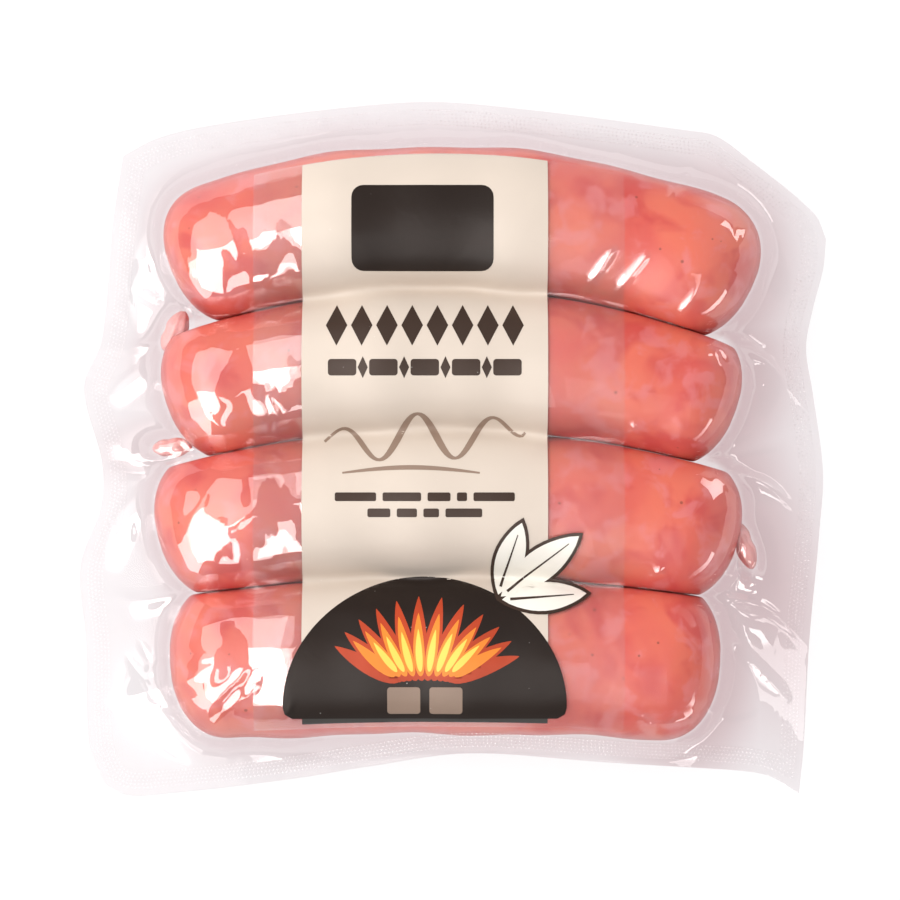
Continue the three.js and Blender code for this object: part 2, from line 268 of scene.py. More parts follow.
def mix(a, b, share):
    return a + (b - a) * share


def smooth_step(x, low, high):
    t = np.clip((x - low) / (high - low), 0, 1)
    return t * t * (3 - 2 * t)


def window(x, ramp_up, ramp_down):
    """1 between two ramps, easing to 0 beyond them."""
    return smooth_step(x, *ramp_up) * (1 - smooth_step(x, *ramp_down))


def spot(x, y, middle_x, middle_y, reach):
    """1 at a place, easing to 0 round it."""
    return np.exp(-(((x - middle_x) / reach) ** 2) - ((y - middle_y) / reach) ** 2)


def smooth_max(a, b, blend):
    overlap = np.clip(blend - np.abs(a - b), 0, None) / blend
    return np.maximum(a, b) + overlap**2 * blend / 4


def smooth_min(a, b, blend):
    return -smooth_max(-a, -b, blend)


def follow(knots, position):
    """A smooth curve through (position, offset) knots."""
    places, offsets = np.array(knots, float).T
    last = len(places) - 1
    after = np.minimum(np.arange(last + 1) + 1, last)
    before = np.maximum(np.arange(last + 1) - 1, 0)
    slopes = (offsets[after] - offsets[before]) / (places[after] - places[before])
    at = np.clip(position, places[0], places[-1])
    i = np.clip(np.searchsorted(places, at), 1, last)
    span = places[i] - places[i - 1]
    t = (at - places[i - 1]) / span
    leave = slopes[i - 1] * span * t * (1 - t) ** 2
    arrive = slopes[i] * span * t * t * (t - 1)
    return mix(offsets[i - 1], offsets[i], smooth_step(t, 0, 1)) + leave + arrive


def arch_radius(sausage):
    return (ARCH_HALF_SPAN**2 + sausage.arch**2) / (2 * sausage.arch)


def arc_y(sausage, x, aside):
    """The y of the line that runs `aside` of a sausage's centre line."""
    radius = arch_radius(sausage)
    return sausage.middle_y - radius + np.sqrt((radius + aside) ** 2 - (x - ARCH_X) ** 2)


def lump(index, along):
    """Unevenness of a sausage's casing along its length."""
    turns = zip(LUMP_LENGTHS, LUMP_TURNS)
    wide, narrow = (np.sin(2 * math.pi * along / length + turn * index) for length, turn in turns)
    return LUMP * (wide + 0.5 * narrow)


def reach_of_sausage(index, x, y):
    """How far out a point is from a centre line, 1 on the outline seen from above, and sizes."""
    sausage = SAUSAGES[index]
    radius = arch_radius(sausage)
    dx, dy = x - ARCH_X, y - sausage.middle_y + radius
    along = radius * np.arctan2(dx, dy)
    aside = np.hypot(dx, dy) - radius
    to_left = radius * math.asin((sausage.left_tip - ARCH_X) / radius)
    painted_shade_side = radius * math.asin((sausage.right_tip - ARCH_X) / radius)
    into_cap = np.maximum(along - painted_shade_side + CAP_LENGTH, to_left + CAP_LENGTH - along)
    into_cap = np.maximum(into_cap, 0) / CAP_LENGTH
    swell = lump(index, along)
    across = np.abs(aside) / (sausage.half_width + swell)
    reach = (across**CAP_POWER + into_cap**CAP_POWER) ** (1 / CAP_POWER)
    return reach, sausage.half_height + swell, sausage.half_height - SETTLE, sausage.half_width


def reach_of_tail(tail, x, y):
    turn = math.radians(tail.turn)
    along = (x - tail.x) * math.cos(turn) + (y - tail.y) * math.sin(turn)
    aside = (y - tail.y) * math.cos(turn) - (x - tail.x) * math.sin(turn)
    reach = np.hypot(aside / tail.half_width, along / tail.half_length)
    return reach, tail.half_height, tail.z, tail.half_width


def contents_at(x, y):
    sausages = [reach_of_sausage(index, x, y) for index in range(len(SAUSAGES))]
    return sausages + [reach_of_tail(tail, x, y) for tail in CASING_TAILS]


def rise(reach, half_height):
    """Height of the film above a rounded thing's middle plane: hugging it out to LEAVE."""
    at_leave = half_height * math.sqrt(1 - LEAVE**2)
    slope = half_height**2 * LEAVE / at_leave
    hugging = half_height * np.sqrt(np.clip(1 - reach**2, 0, None))
    return np.where(reach < LEAVE, hugging, at_leave - slope * (reach - LEAVE))


def outside_of(contents):
    """Distance out from the nearest sausage or tail, negative over it."""
    return np.min([(reach - 1) * width for reach, _, _, width in contents], axis=0)


def valley_row(index):
    return FIRST_ROW + (index + 1) * ROWS_PER_SAUSAGE


def flank_y(index, x):
    """The line along one side of a sausage: a valley, or the pack's own flank."""
    last = len(SAUSAGES) - 1
    if index < 0:
        return arc_y(SAUSAGES[0], x, -SAUSAGES[0].half_width)
    if index == last:
        return arc_y(SAUSAGES[last], x, SAUSAGES[last].half_width)
    front, back = SAUSAGES[index], SAUSAGES[index + 1]
    share = front.half_width / (front.half_width + back.half_width)
    return mix(arc_y(front, x, 0), arc_y(back, x, 0), share)


def plain_row_y(row, x):
    last = len(SAUSAGES) - 1
    if row <= FIRST_ROW:
        return mix(follow(FRONT_EDGE, x), flank_y(-1, x), row / FIRST_ROW)
    if row >= LAST_ROW:
        return mix(flank_y(last, x), follow(BACK_EDGE, x), (row - LAST_ROW) / ROWS_IN_BORDER)
    index = min(last, int((row - FIRST_ROW) / ROWS_PER_SAUSAGE))
    across = (row - FIRST_ROW) / ROWS_PER_SAUSAGE - index
    eased = (1 - math.cos(math.pi * across)) / 2
    return mix(flank_y(index - 1, x), flank_y(index, x), eased)


def row_end(row, edge, body_x):
    """Where a row meets the left or right edge of the film."""
    lowest, highest = (plain_row_y(end, body_x) for end in (0, ROW_COUNT))
    share = (plain_row_y(row, body_x) - lowest) / (highest - lowest)
    y = mix(edge[0][0], edge[-1][0], share)
    return float(follow(edge, y)), float(y)


def row_line_y(row, x):
    """A row's y at any x, bent in the side borders so that it ends on the film's edge."""
    y = plain_row_y(row, x)
    for edge, body_x in ((LEFT_EDGE, BODY_LEFT), (RIGHT_EDGE, BODY_RIGHT)):
        end_x, end_y = row_end(row, edge, body_x)
        progress = smooth_step((x - body_x) / (end_x - body_x), 0, 1)
        y = y + progress * (end_y - plain_row_y(row, end_x))
    return y


def valley_bells(x, y, width):
    """For each line between sausages, 1 along it, easing to 0 at its sides."""
    for index in range(len(SAUSAGES) - 1):
        yield np.exp(-(((y - row_line_y(valley_row(index), x)) / width) ** 2))


def pleats(x, y):
    """Tented pleats that run from each valley to the film's edge."""
    strength = window(np.abs(x), (PLEAT_START, PLEAT_FULL), (PLEAT_FULL, PLEAT_END))
    return sum(PLEAT_HEIGHT * strength * bell for bell in valley_bells(x, y, PLEAT_HALF_WIDTH))


def border_height(x, y, contents):
    outside = outside_of(contents)
    wave = np.sin(2 * math.pi * (x + WAVE_SKEW * y) / WAVE_LENGTH)
    droop = BORDER_DROOP * smooth_step(outside, 0, DROOP_REACH)
    return BORDER_Z - droop + WAVE_HEIGHT * wave * smooth_step(outside, 0, WAVE_REACH)


def blend_at(x, valley_blend):
    return mix(valley_blend, END_BLEND, smooth_step(np.abs(x), CAPS_BEGIN, -BODY_LEFT))


def top_height(x, y, valley_blend, edge):
    contents = contents_at(x, y)
    blend = blend_at(x, valley_blend)
    over = contents[0][2] + rise(*contents[0][:2])
    for reach, half_height, z, _ in contents[1:]:
        over = smooth_max(over, z + rise(reach, half_height), blend)
    return smooth_max(over, border_height(x, y, contents) + edge / 2 + pleats(x, y), WEB_BLEND)


def bottom_height(x, y, edge):
    contents = contents_at(x, y)
    blend = blend_at(x, VALLEY_BLEND)
    under = contents[0][2] - rise(*contents[0][:2])
    for reach, half_height, z, _ in contents[1:]:
        under = smooth_min(under, z - rise(reach, half_height), blend)
    under = smooth_min(under, border_height(x, y, contents) - edge / 2, WEB_BLEND / 2)
    return np.maximum(under, 0)


# Creases of the film


def distance_to_line(x, y, points):
    """Distance to a line through points, and the share of the line's length at its foot."""
    points = np.array(points, float)
    lengths = np.hypot(*(points[1:] - points[:-1]).T)
    total, passed = lengths.sum(), 0
    nearest = np.full(x.shape, 1e9)
    share = np.zeros(x.shape)
    for start, end, length in zip(points[:-1], points[1:], lengths):
        way = (end - start) / length
        along = np.clip((x - start[0]) * way[0] + (y - start[1]) * way[1], 0, length)
        gap = np.hypot(x - start[0] - way[0] * along, y - start[1] - way[1] * along)
        closer = gap < nearest
        nearest = np.where(closer, gap, nearest)
        share = np.where(closer, (passed + along) / total, share)
        passed += length
    return nearest, share


def fan_creases():
    """Creases that spread from the end of each valley into the border."""
    draw = random.Random(SEED)
    creases = []
    for index in range(len(SAUSAGES) - 1):
        for side, start_x in ((-1, -56.0), (1, 57.0)):
            start = (start_x, float(row_line_y(valley_row(index), np.array(start_x))))
            for step in range(FAN_CREASES):
                spread = FAN_SPREAD * (2 * step / (FAN_CREASES - 1) - 1) + draw.uniform(-7, 7)
                turn = math.radians(spread - (14 if side > 0 else -14))
                length = draw.uniform(9, 19)
                bow = draw.uniform(-1.2, 1.2)
                way = (side * math.cos(turn), math.sin(turn))
                points = [
                    (start[0] + way[0] * far - way[1] * bend, start[1] + way[1] * far + way[0] * bend)
                    for far, bend in ((2, 0), (length / 2, bow), (length, 0))
                ]
                height = draw.uniform(0.3, 0.7) * (1.0 if side > 0 else 0.45)
                creases.append(Crease(height, draw.uniform(0.6, 1.0), points))
    return creases


def tick_creases():
    """Short pleats where the film turns down over the back and front flanks."""
    draw = random.Random(SEED + 1)
    creases = []
    for row, places, way in ((LAST_ROW, TICKS_BACK, 1), (FIRST_ROW, TICKS_FRONT, -1)):
        for x in places:
            y = float(plain_row_y(row, np.array(x))) - 0.8 * way
            lean = draw.uniform(-0.8, 0.8)
            length = TICK_LENGTH * draw.uniform(0.7, 1.2)
            ends = [(x, y - way), (x + lean, y + way * length)]
            creases.append(Crease(draw.uniform(0.4, 0.7), 0.7, ends))
    return creases


def ridge(x, y, crease, power):
    """Height of one crease: with an edge along its line at power 1, rounded at power 2."""
    gap, share = distance_to_line(x, y, crease.points)
    taper = np.sin(math.pi * np.clip(share, 0.02, 0.98)) ** 0.6
    return crease.height * taper * np.exp(-((gap / crease.half_width) ** power))


def crease_height(x, y):
    height = np.zeros(x.shape)
    for crease in CREASES + fan_creases() + tick_creases():
        height = np.maximum(height, ridge(x, y, crease, 1))
    for fold in FOLDS:
        height = height + ridge(x, y, fold, 2)
    return height


def ripples(x, y, length, width, seed):
    """Uneven ripples of tight film, with sharper ridges than hollows."""
    places = np.stack([x / length, y / width, np.full(x.shape, seed)], axis=-1).reshape(-1, 3)
    values = [noise.ridged_multi_fractal(place, 1.0, 2.0, 3, 0.95, 1.7) for place in places]
    return np.array(values).reshape(x.shape)


def margin_mask(x):
    """1 in the label's clear margins, easing to 0 on its printed band."""
    return 1 - window(x, MARGIN_LEFT, MARGIN_RIGHT)


def label_mask(x):
    """1 where the film lies under the label, easing to 0 beside it."""
    ramp_up = (LABEL_LEFT - LABEL_EASE, LABEL_LEFT)
    return window(x, ramp_up, (LABEL_RIGHT, LABEL_RIGHT + LABEL_EASE))


def valley_share(x, y, width):
    """Large along the lines between sausages, easing to 0 beside them and at their ends."""
    bells = np.max(list(valley_bells(x, y, width)), axis=0)
    return 0.85 * bells * (1 - smooth_step(np.abs(x), 52, 60))


def calm_share(x, y):
    """Large where the film clings flat to the meat on the right, small on its creases."""
    flat = 1 - smooth_step(crease_height(x, y), 0.02, 0.14)
    return 0.97 * window(x, (8, 22), (51, 58)) * flat


def film_height(x, y, edge, ripple):
    """Height of the top film with its creases and ripples, which stop at the label."""
    under_label = label_mask(x)
    blend = mix(VALLEY_BLEND, LABEL_VALLEY_BLEND, under_label)
    free = 1 - LABEL_HOLD * under_label
    creased = 1 - LABEL_HOLD * under_label * (1 - margin_mask(x))
    plain = top_height(x, y, blend, edge)
    outside = outside_of(contents_at(x, y))
    over_meat = 1 - smooth_step(outside, -1, 2)
    left_end = 1 - smooth_step(x, -54, -40)
    crumpled = spot(x, y, -60, -58, 13)
    fine = 0.25 + 0.75 * left_end + 0.25 * smooth_step(x, 54, 64)
    loose = np.maximum(creased, smooth_step(outside, -3.5, 0))
    fine_ripples = ripples(x, y, 9, 6, 0.0) * mix(0.7, 1.0, over_meat) * fine
    wide_ripples = ripples(x, y, 17, 11, 5.0) * (2.6 * left_end * over_meat + 4.5 * crumpled)
    return plain + crease_height(x, y) * loose + ripple * (fine_ripples + wide_ripples) * free


# Meshes


def make_object(name, points_mm, faces, material, edges=()):
    """A mesh object at the origin, its points given in millimetres."""
    mesh = bpy.data.meshes.new(name)
    mesh.from_pydata((np.asarray(points_mm, float) * MM).tolist(), edges, faces)
    mesh.materials.append(material)
    mesh.update()
    piece = bpy.data.objects.new(name, mesh)
    bpy.context.scene.collection.objects.link(piece)
    return piece


def shade_smooth(piece):
    piece.data.polygons.foreach_set("use_smooth", [True] * len(piece.data.polygons))


def add_layer(piece, name, values):
    """A value of the piece's own for each of its points, for the materials to read."""
    layer = piece.data.attributes.new(name, "FLOAT", "POINT")
    layer.data.foreach_set("value", np.asarray(values, np.float32))


def settle_piece(piece, *nodes, slot):
    """Rides on the pack and stands for the nodes, which it hides; the slot is not used."""
    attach(piece, BODY)
    if nodes:
        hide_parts(*nodes)


def grown(host, tree, values):
    """Turns what a Geometry Nodes tree makes of an object into its plain mesh."""
    modifier = host.modifiers.new("form", "NODES")
    modifier.node_group = tree
    for item in tree.interface.items_tree:
        if item.item_type == "SOCKET" and item.in_out == "INPUT" and item.name in values:
            modifier[item.identifier] = values[item.name]
    depsgraph = bpy.context.evaluated_depsgraph_get()
    mesh = bpy.data.meshes.new_from_object(host.evaluated_get(depsgraph))
    old = host.data
    host.modifiers.clear()
    host.data = mesh
    mesh.name = host.name
    bpy.data.meshes.remove(old)
    return host


def even_steps(start, end, count):
    return [mix(start, end, step / count) for step in range(count)]


def film_stations(row):
    """The x of the film's points along a row, from edge to edge."""
    left = row_end(row, LEFT_EDGE, BODY_LEFT)[0]
    right = row_end(row, RIGHT_EDGE, BODY_RIGHT)[0]
    stops = (left, BODY_LEFT, -CAPS_BEGIN, LABEL_LEFT, LABEL_RIGHT, CAPS_BEGIN, BODY_RIGHT, right)
    stretches = zip(stops, stops[1:], FILM_COLUMNS)
    return np.array(sum((even_steps(*stretch) for stretch in stretches), []) + [right])


def film_grid():
    """The x and y of the film's points, row by row."""
    rows = even_steps(0, FIRST_ROW, FILM_ROWS_BORDER)
    for index in range(len(SAUSAGES)):
        start = FIRST_ROW + index * ROWS_PER_SAUSAGE
        rows += even_steps(start, start + ROWS_PER_SAUSAGE, FILM_ROWS_SAUSAGE)
    rows += even_steps(LAST_ROW, ROW_COUNT, FILM_ROWS_BORDER) + [ROW_COUNT]
    x = np.array([film_stations(row) for row in rows])
    y = np.array([row_line_y(row, line) for row, line in zip(rows, x)])
    return x, y


def grid_faces(numbers, flipped=False):
    """Four-sided faces between the points of a grid of point numbers."""
    corners = [numbers[:-1, :-1], numbers[:-1, 1:], numbers[1:, 1:], numbers[1:, :-1]]
    if flipped:
        corners = [corners[0], *corners[:0:-1]]
    return np.stack(corners, axis=-1).reshape(-1, 4).tolist()


def envelope_faces(rows, columns):
    """Faces of a closed envelope: a fine grid on top and one half as fine underneath.

    The top grid's points come first, row by row, then the coarse grid's points.
    """
    low_rows, low_columns = (rows + 1) // 2, (columns + 1) // 2
    top = np.arange(rows * columns).reshape(rows, columns)
    low = top.size + np.arange(low_rows * low_columns).reshape(low_rows, low_columns)
    faces = grid_faces(top) + grid_faces(low, flipped=True)
    for fine, coarse in (
        (top[0], low[0]),
        (top[:, -1], low[:, -1]),
        (top[-1, ::-1], low[-1, ::-1]),
        (top[::-1, 0], low[::-1, 0]),
    ):
        fine, coarse = fine.tolist(), coarse.tolist()
        for step in range(len(coarse) - 1):
            a, b, c = fine[2 * step : 2 * step + 3]
            d, e = coarse[step : step + 2]
            faces += [(d, b, a), (d, e, b), (e, c, b)]
    return faces


def film_layers(x, y):
    """How much the film is tinted beside the meat, by juice and by painted shade that reaches further
    and grows stronger to the right, and how dull it is, at points.
    """
    outside = outside_of(contents_at(x, y))
    # Painted shade: the tint beside the meat reaches further and darkens towards the right, less at
    # the back, where the shadow falls.
    painted_shade_side = smooth_step(x, 30, 62) * (1 - 0.6 * smooth_step(y, 20, 50))
    reach = mix(5.0, 13.0, painted_shade_side)
    juice_and_shade_tint = mix(0.6, 1.0, painted_shade_side) * np.exp(-((np.clip(outside, 0, None) / reach) ** 2))
    juice_and_painted_shade = juice_and_shade_tint * smooth_step(outside, -1.5, 0.5)
    crumpled = 0.75 * spot(x, y, -63, -55, 9)
    sharp = 0.8 * smooth_step(crease_height(x, y), 0.15, 0.45)
    border = smooth_step(outside, 2, 5) * mix(0.94, 0.7, smooth_step(x, 20, 50))
    border *= 1 - np.maximum(crumpled, sharp)
    calm = calm_share(x, y) * (1 - smooth_step(outside, -3, -0.5))
    return juice_and_painted_shade, np.maximum(valley_share(x, y, 1.7), np.maximum(border, calm))


def left_of(way):
    """A step of length 1 to the left of each way."""
    way = way / np.hypot(*way.T)[:, None]
    return np.column_stack([-way[:, 1], way[:, 0]])


def inset_edge(inset):
    """The film's edge moved inwards by `inset`, as a closed line of points."""
    line = []
    for edge, way, upright in (
        (FRONT_EDGE, 1, False),
        (RIGHT_EDGE, 1, True),
        (BACK_EDGE, -1, False),
        (LEFT_EDGE, -1, True),
    ):
        ends = (edge[0][0], edge[-1][0])[::way]
        places = np.linspace(*ends, EDGE_SPOTS)[:-1]
        pair = (places, follow(edge, places))
        line += zip(*(pair[::-1] if upright else pair))
    line = np.array(line)
    moved = line + left_of(np.roll(line, -1, axis=0) - np.roll(line, 1, axis=0)) * inset
    gaps = np.hypot(*(moved[:, None, :] - line[None, :, :]).transpose(2, 0, 1)).min(axis=1)
    return moved[gaps > inset * 0.985]  # points that came nearer lie beyond a corner


def casing_tail(tail):
    """Points and faces of a pleated, pinched end of casing, with a tip at each end."""
    stations, sides = TAIL_STATIONS, TAIL_SIDES
    turn = math.radians(tail.turn)
    far = tail.half_length - TAIL_GAP
    share = np.arange(1, stations)[:, None] / stations
    angle = 2 * math.pi * np.arange(sides) / sides
    waist = 1 - WAIST_DEPTH * np.exp(-(((share - WAIST_AT) / WAIST_WIDTH) ** 2))
    pleat = 1 + TAIL_PLEAT_DEPTH * np.cos(TAIL_PLEATS * angle + TAIL_TWIST * share)
    size = TAIL_FILL * np.sin(math.pi * share) ** TAIL_BLUNTNESS * waist * pleat
    rings = (2 * share - 1) * far + 0 * angle, size * np.cos(angle), size * np.sin(angle)
    ends = ((-far, far), (0, 0), (0, 0))
    along, aside, up = (np.append(ring, end) for ring, end in zip(rings, ends))
    aside = aside * tail.half_width
    x = tail.x + along * math.cos(turn) - aside * math.sin(turn)
    y = tail.y + along * math.sin(turn) + aside * math.cos(turn)
    points = np.column_stack([x, y, tail.z + up * tail.half_height])
    numbers = np.arange(size.size).reshape(size.shape)
    numbers = np.column_stack([numbers, numbers[:, 0]])
    faces = grid_faces(numbers, flipped=True)
    for tip, ring, way in ((size.size, numbers[0], 1), (size.size + 1, numbers[-1], -1)):
        faces += [(tip, *pair[::way]) for pair in zip(ring[:-1].tolist(), ring[1:].tolist())]
    return points, faces


# The label's surface and the flat fields that are laid on it


def label_waves(x, y):
    """Slight waves of the clear label, deeper in its left margin."""
    depth = 0.03 + 0.26 * (1 - smooth_step(x, -38, -33))
    places = np.stack([x / 6, y / 4, np.full(x.shape, 9.0)], axis=-1)
    return depth * np.array([0.5 + 0.5 * noise.noise(place) for place in places])


def label_surface(x, y, lift):
    """Points that stand off the label's underside by `lift`, measured square to it."""
    step = 0.2

    def height(px, py):
        return top_height(px, py, LABEL_VALLEY_BLEND, FILM_EDGE)

    slope_x = (height(x + step, y) - height(x - step, y)) / (2 * step)
    slope_y = (height(x, y + step) - height(x, y - step)) / (2 * step)
    lift = lift + label_waves(x, y)
    raised = crease_height(x, y) * margin_mask(x)
    return height(x, y) + raised + lift * np.sqrt(1 + slope_x**2 + slope_y**2)


def drape(name, outlines, lift, thickness, material):
    """Lays flat outlines on the label as thin closed sheets with their underside at `lift`."""
    shape = bmesh.new()
    for outline in outlines:
        corners = [shape.verts.new((x, y, 0)) for x, y in outline]
        shape.faces.new(corners)
    for axis, step in enumerate(DRAPE_STEPS):
        places = [v.co[axis] for v in shape.verts]
        place = math.floor(min(places) / step) * step + step
        while place < max(places):
            fine = axis == 0 and margin_mask(place) > 0
            plane = {"plane_co": [0, 0, 0], "plane_no": [0, 0, 0]}
            plane["plane_co"][axis], plane["plane_no"][axis] = place, 1
            everything = shape.verts[:] + shape.edges[:] + shape.faces[:]
            bmesh.ops.bisect_plane(shape, geom=everything, dist=1e-4, **plane)
            place += DRAPE_MARGIN_STEP if fine else step
    bmesh.ops.triangulate(shape, faces=[f for f in shape.faces if len(f.verts) > 4])
    bmesh.ops.recalc_face_normals(shape, faces=shape.faces[:])
    if shape.faces[:] and sum(f.normal.z for f in shape.faces) < 0:
        bmesh.ops.reverse_faces(shape, faces=shape.faces[:])
    shape.verts.ensure_lookup_table()
    shape.verts.index_update()
    flat = np.array([v.co[:2] for v in shape.verts])
    low = label_surface(flat[:, 0], flat[:, 1], lift)
    high = label_surface(flat[:, 0], flat[:, 1], lift + thickness)
    count = len(flat)
    points = np.concatenate([np.column_stack([flat, high]), np.column_stack([flat, low])])
    faces = [[v.index for v in face.verts] for face in shape.faces]
    faces += [[index + count for index in reversed(face)] for face in list(faces)]
    for edge in shape.edges:
        if len(edge.link_faces) == 1:
            loop = edge.link_loops[0]
            a, b = loop.vert.index, loop.link_loop_next.vert.index
            faces.append([b, a, a + count, b + count])
    shape.free()
    piece = make_object(name, points, faces, material)
    shade_smooth(piece)
    piece.data.set_sharp_from_angle(angle=math.radians(50))
    return piece


def rounded_rectangle(left, front, right, back, corner):
    outline = []
    for cx, cy, turn in (
        (right - corner, back - corner, 0),
        (left + corner, back - corner, 90),
        (left + corner, front + corner, 180),
        (right - corner, front + corner, 270),
    ):
        for step in range(CORNER_STEPS + 1):
            angle = math.radians(turn + 90 * step / CORNER_STEPS)
            outline.append((cx + corner * math.cos(angle), cy + corner * math.sin(angle)))
    return outline


def bar(cx, cy, width, height, corner):
    x, y = width / 2, height / 2
    return rounded_rectangle(cx - x, cy - y, cx + x, cy + y, corner)


def lozenge(cx, cy, half_width, half_height):
    corners = ((half_width, 0), (0, half_height), (-half_width, 0), (0, -half_height))
    return [(cx + x, cy + y) for x, y in corners]


def turned(cx, cy, turn, line):
    """Points given as how far and how much aside, set out from a place `turn` degrees from +Y."""
    sine, cosine = math.sin(math.radians(turn)), math.cos(math.radians(turn))
    return [(cx + far * sine + side * cosine, cy + far * cosine - side * sine) for far, side in line]


def tongue(cx, cy, turn, length, width, bend):
    """A drop that is pointed at its far end and leans over by `bend`."""
    line = []
    for step in range(TONGUE_POINTS):
        t = 2 * math.pi * step / TONGUE_POINTS
        far = length * (1 - (1 - math.cos(t)) / 2)
        side = math.sin(t) * math.sin(t / 2) ** 0.7 * width / 2
        line.append((far, side + bend * (far / length) ** 2))
    return turned(cx, cy, turn, line)


def burst(widest, out, up, length, less, width, bend):
    """Tongues fanned out over the foot of the dome, shorter towards the sides."""
    tongues = []
    for turn in range(-widest, widest + 1, FLAME_TURN):
        cx = BAND_MIDDLE + out * math.sin(math.radians(turn))
        far = length - less * (abs(turn) / FLAME_WIDEST)
        tongues.append(tongue(cx, DOME_Y + up, turn, far, width, bend))
    return tongues


def leaf(cx, cy, turn, length, width):
    """A plain leaf, pointed at both ends."""
    line = []
    for step in range(LEAF_STEPS + 1):
        side = math.sin(math.pi * step / LEAF_STEPS) ** 0.8 * width / 2
        line.append((step / LEAF_STEPS * length, side))
    return turned(cx, cy, turn, line + [(far, -side) for far, side in line[-2:0:-1]])


def ribbon(x, y, half_widths):
    """The outline of a stroke through points, with its half width at each."""
    points = np.column_stack([x, y])
    side = left_of(np.gradient(points, axis=0)) * half_widths[:, None]
    return (points + side).tolist() + (points - side)[::-1].tolist()


def band_outline(left, right, front_row, back_row, steps=40):
    """A field between two lines that run along the sausages."""
    xs = np.linspace(left, right, steps)
    back = list(zip(xs, row_line_y(back_row, xs)))
    return list(zip(xs, row_line_y(front_row, xs))) + back[::-1]


# Node trees


class Field:
    """A node's output that takes part in arithmetic, each step becoming a Math node."""

    def __init__(self, tree, socket):
        self.tree = tree
        self.socket = socket

    def math(self, operation, *others):
        inputs = dict(enumerate((self, *others)))
        return first_output(self.tree, "ShaderNodeMath", inputs, operation=operation)

    def __add__(self, other):
        return self.math("ADD", other)

    def __sub__(self, other):
        return self.math("SUBTRACT", other)

    def __rsub__(self, other):
        return self * -1.0 + other

    def __mul__(self, other):
        return self.math("MULTIPLY", other)

    def __truediv__(self, other):
        return self.math("DIVIDE", other)

    def __pow__(self, other):
        return self.math("POWER", other)


def wire(tree, value, socket):
    """Links a field to an input, or sets the input to a plain value."""
    if isinstance(value, Field):
        tree.links.new(value.socket, socket)
    else:
        socket.default_value = value


def outputs_of(tree, kind, inputs=(), **settings):
    """The outputs of a new node, its settings made and its inputs wired by name or number."""
    node = tree.nodes.new(kind)
    for key, value in settings.items():
        setattr(node, key, value)
    for key, value in dict(inputs).items():
        wire(tree, value, node.inputs[key])
    outputs = {}
    for number, socket in enumerate(node.outputs):
        outputs[number] = outputs[socket.name] = Field(tree, socket)
    return outputs


def first_output(tree, kind, inputs=(), **settings):
    return outputs_of(tree, kind, inputs, **settings)[0]


SOCKET_KINDS = {float: "NodeSocketFloat", int: "NodeSocketInt"}


def new_group(name, kind, inputs, result):
    """A node tree with inputs of these names and defaults, and one output.

    An input without a default is named after its kind, and so is the output.
    """
    tree = bpy.data.node_groups.new(name, kind)
    for label, default in inputs.items():
        socket_type = SOCKET_KINDS.get(type(default), f"NodeSocket{label}")
        socket = tree.interface.new_socket(label, in_out="INPUT", socket_type=socket_type)
        if default is not None:
            socket.default_value = default
    socket_type = "NodeSocketFloat" if result == "Mask" else f"NodeSocket{result}"
    tree.interface.new_socket(result, in_out="OUTPUT", socket_type=socket_type)
    given = outputs_of(tree, "NodeGroupInput")
    end = tree.nodes.new("NodeGroupOutput").inputs[0]
    return tree, given, end


# Steps that the materials share


def object_place(tree):
    return outputs_of(tree, "ShaderNodeTexCoord")["Object"]


def smooth_range(tree, value, low, high):
    """0 where the value is low, easing to 1 where it is high."""
    inputs = {"Value": value, "From Min": low, "From Max": high}
    return first_output(tree, "ShaderNodeMapRange", inputs, interpolation_type="SMOOTHSTEP")


def fleck_group():
    """Small flecks scattered evenly: a mask from cells whose centre is near."""
    defaults = {"Scale": 400.0, "Size": 0.2, "Share": 0.5}
    tree, given, end = new_group("flecks", "ShaderNodeTree", defaults, "Mask")
    inputs = {"Vector": object_place(tree), "Scale": given["Scale"], "Randomness": 1.0}
    cells = outputs_of(tree, "ShaderNodeTexVoronoi", inputs)
    draw = outputs_of(tree, "ShaderNodeSeparateColor", {0: cells["Color"]})
    near = cells["Distance"].math("LESS_THAN", draw[0] * given["Size"])
    wire(tree, near * draw[1].math("LESS_THAN", given["Share"]), end)
    return tree


def mottle_group():
    """Soft cloudy patches: a mask with a middle value and a contrast."""
    cloud = {"Scale": 80.0, "Detail": 3.0, "Distortion": 0.4}
    defaults = {**cloud, "Middle": 0.5, "Softness": 0.1, "Shift": 0.0}
    tree, given, end = new_group("mottle", "ShaderNodeTree", defaults, "Mask")
    inputs = {0: object_place(tree), 1: given["Shift"]}
    moved = first_output(tree, "ShaderNodeVectorMath", inputs, operation="ADD")
    inputs = {"Vector": moved, **{label: given[label] for label in cloud}}
    value = first_output(tree, "ShaderNodeTexNoise", inputs)
    middle, softness = given["Middle"], given["Softness"]
    wire(tree, smooth_range(tree, value, middle - softness, middle + softness), end)
    return tree


def mask(tree, name, build, **values):
    """A mask from a shared group, which is built the first time that it is asked for."""
    node = tree.nodes.new("ShaderNodeGroup")
    node.node_tree = bpy.data.node_groups.get(name) or build()
    for key, value in values.items():
        wire(tree, value, node.inputs[key.title()])
    return Field(tree, node.outputs[0])


def mottle(tree, **values):
    return mask(tree, "mottle", mottle_group, **values)


def flecks(tree, **values):
    return mask(tree, "flecks", fleck_group, **values)


def mixed(tree, share, first, second):
    """A colour that goes from the first to the second by a share."""
    node = tree.nodes.new("ShaderNodeMix")
    node.data_type = "RGBA"
    for key, value in (("Factor", share), (6, first), (7, second)):
        wire(tree, value, node.inputs[key])
    return Field(tree, node.outputs[2])


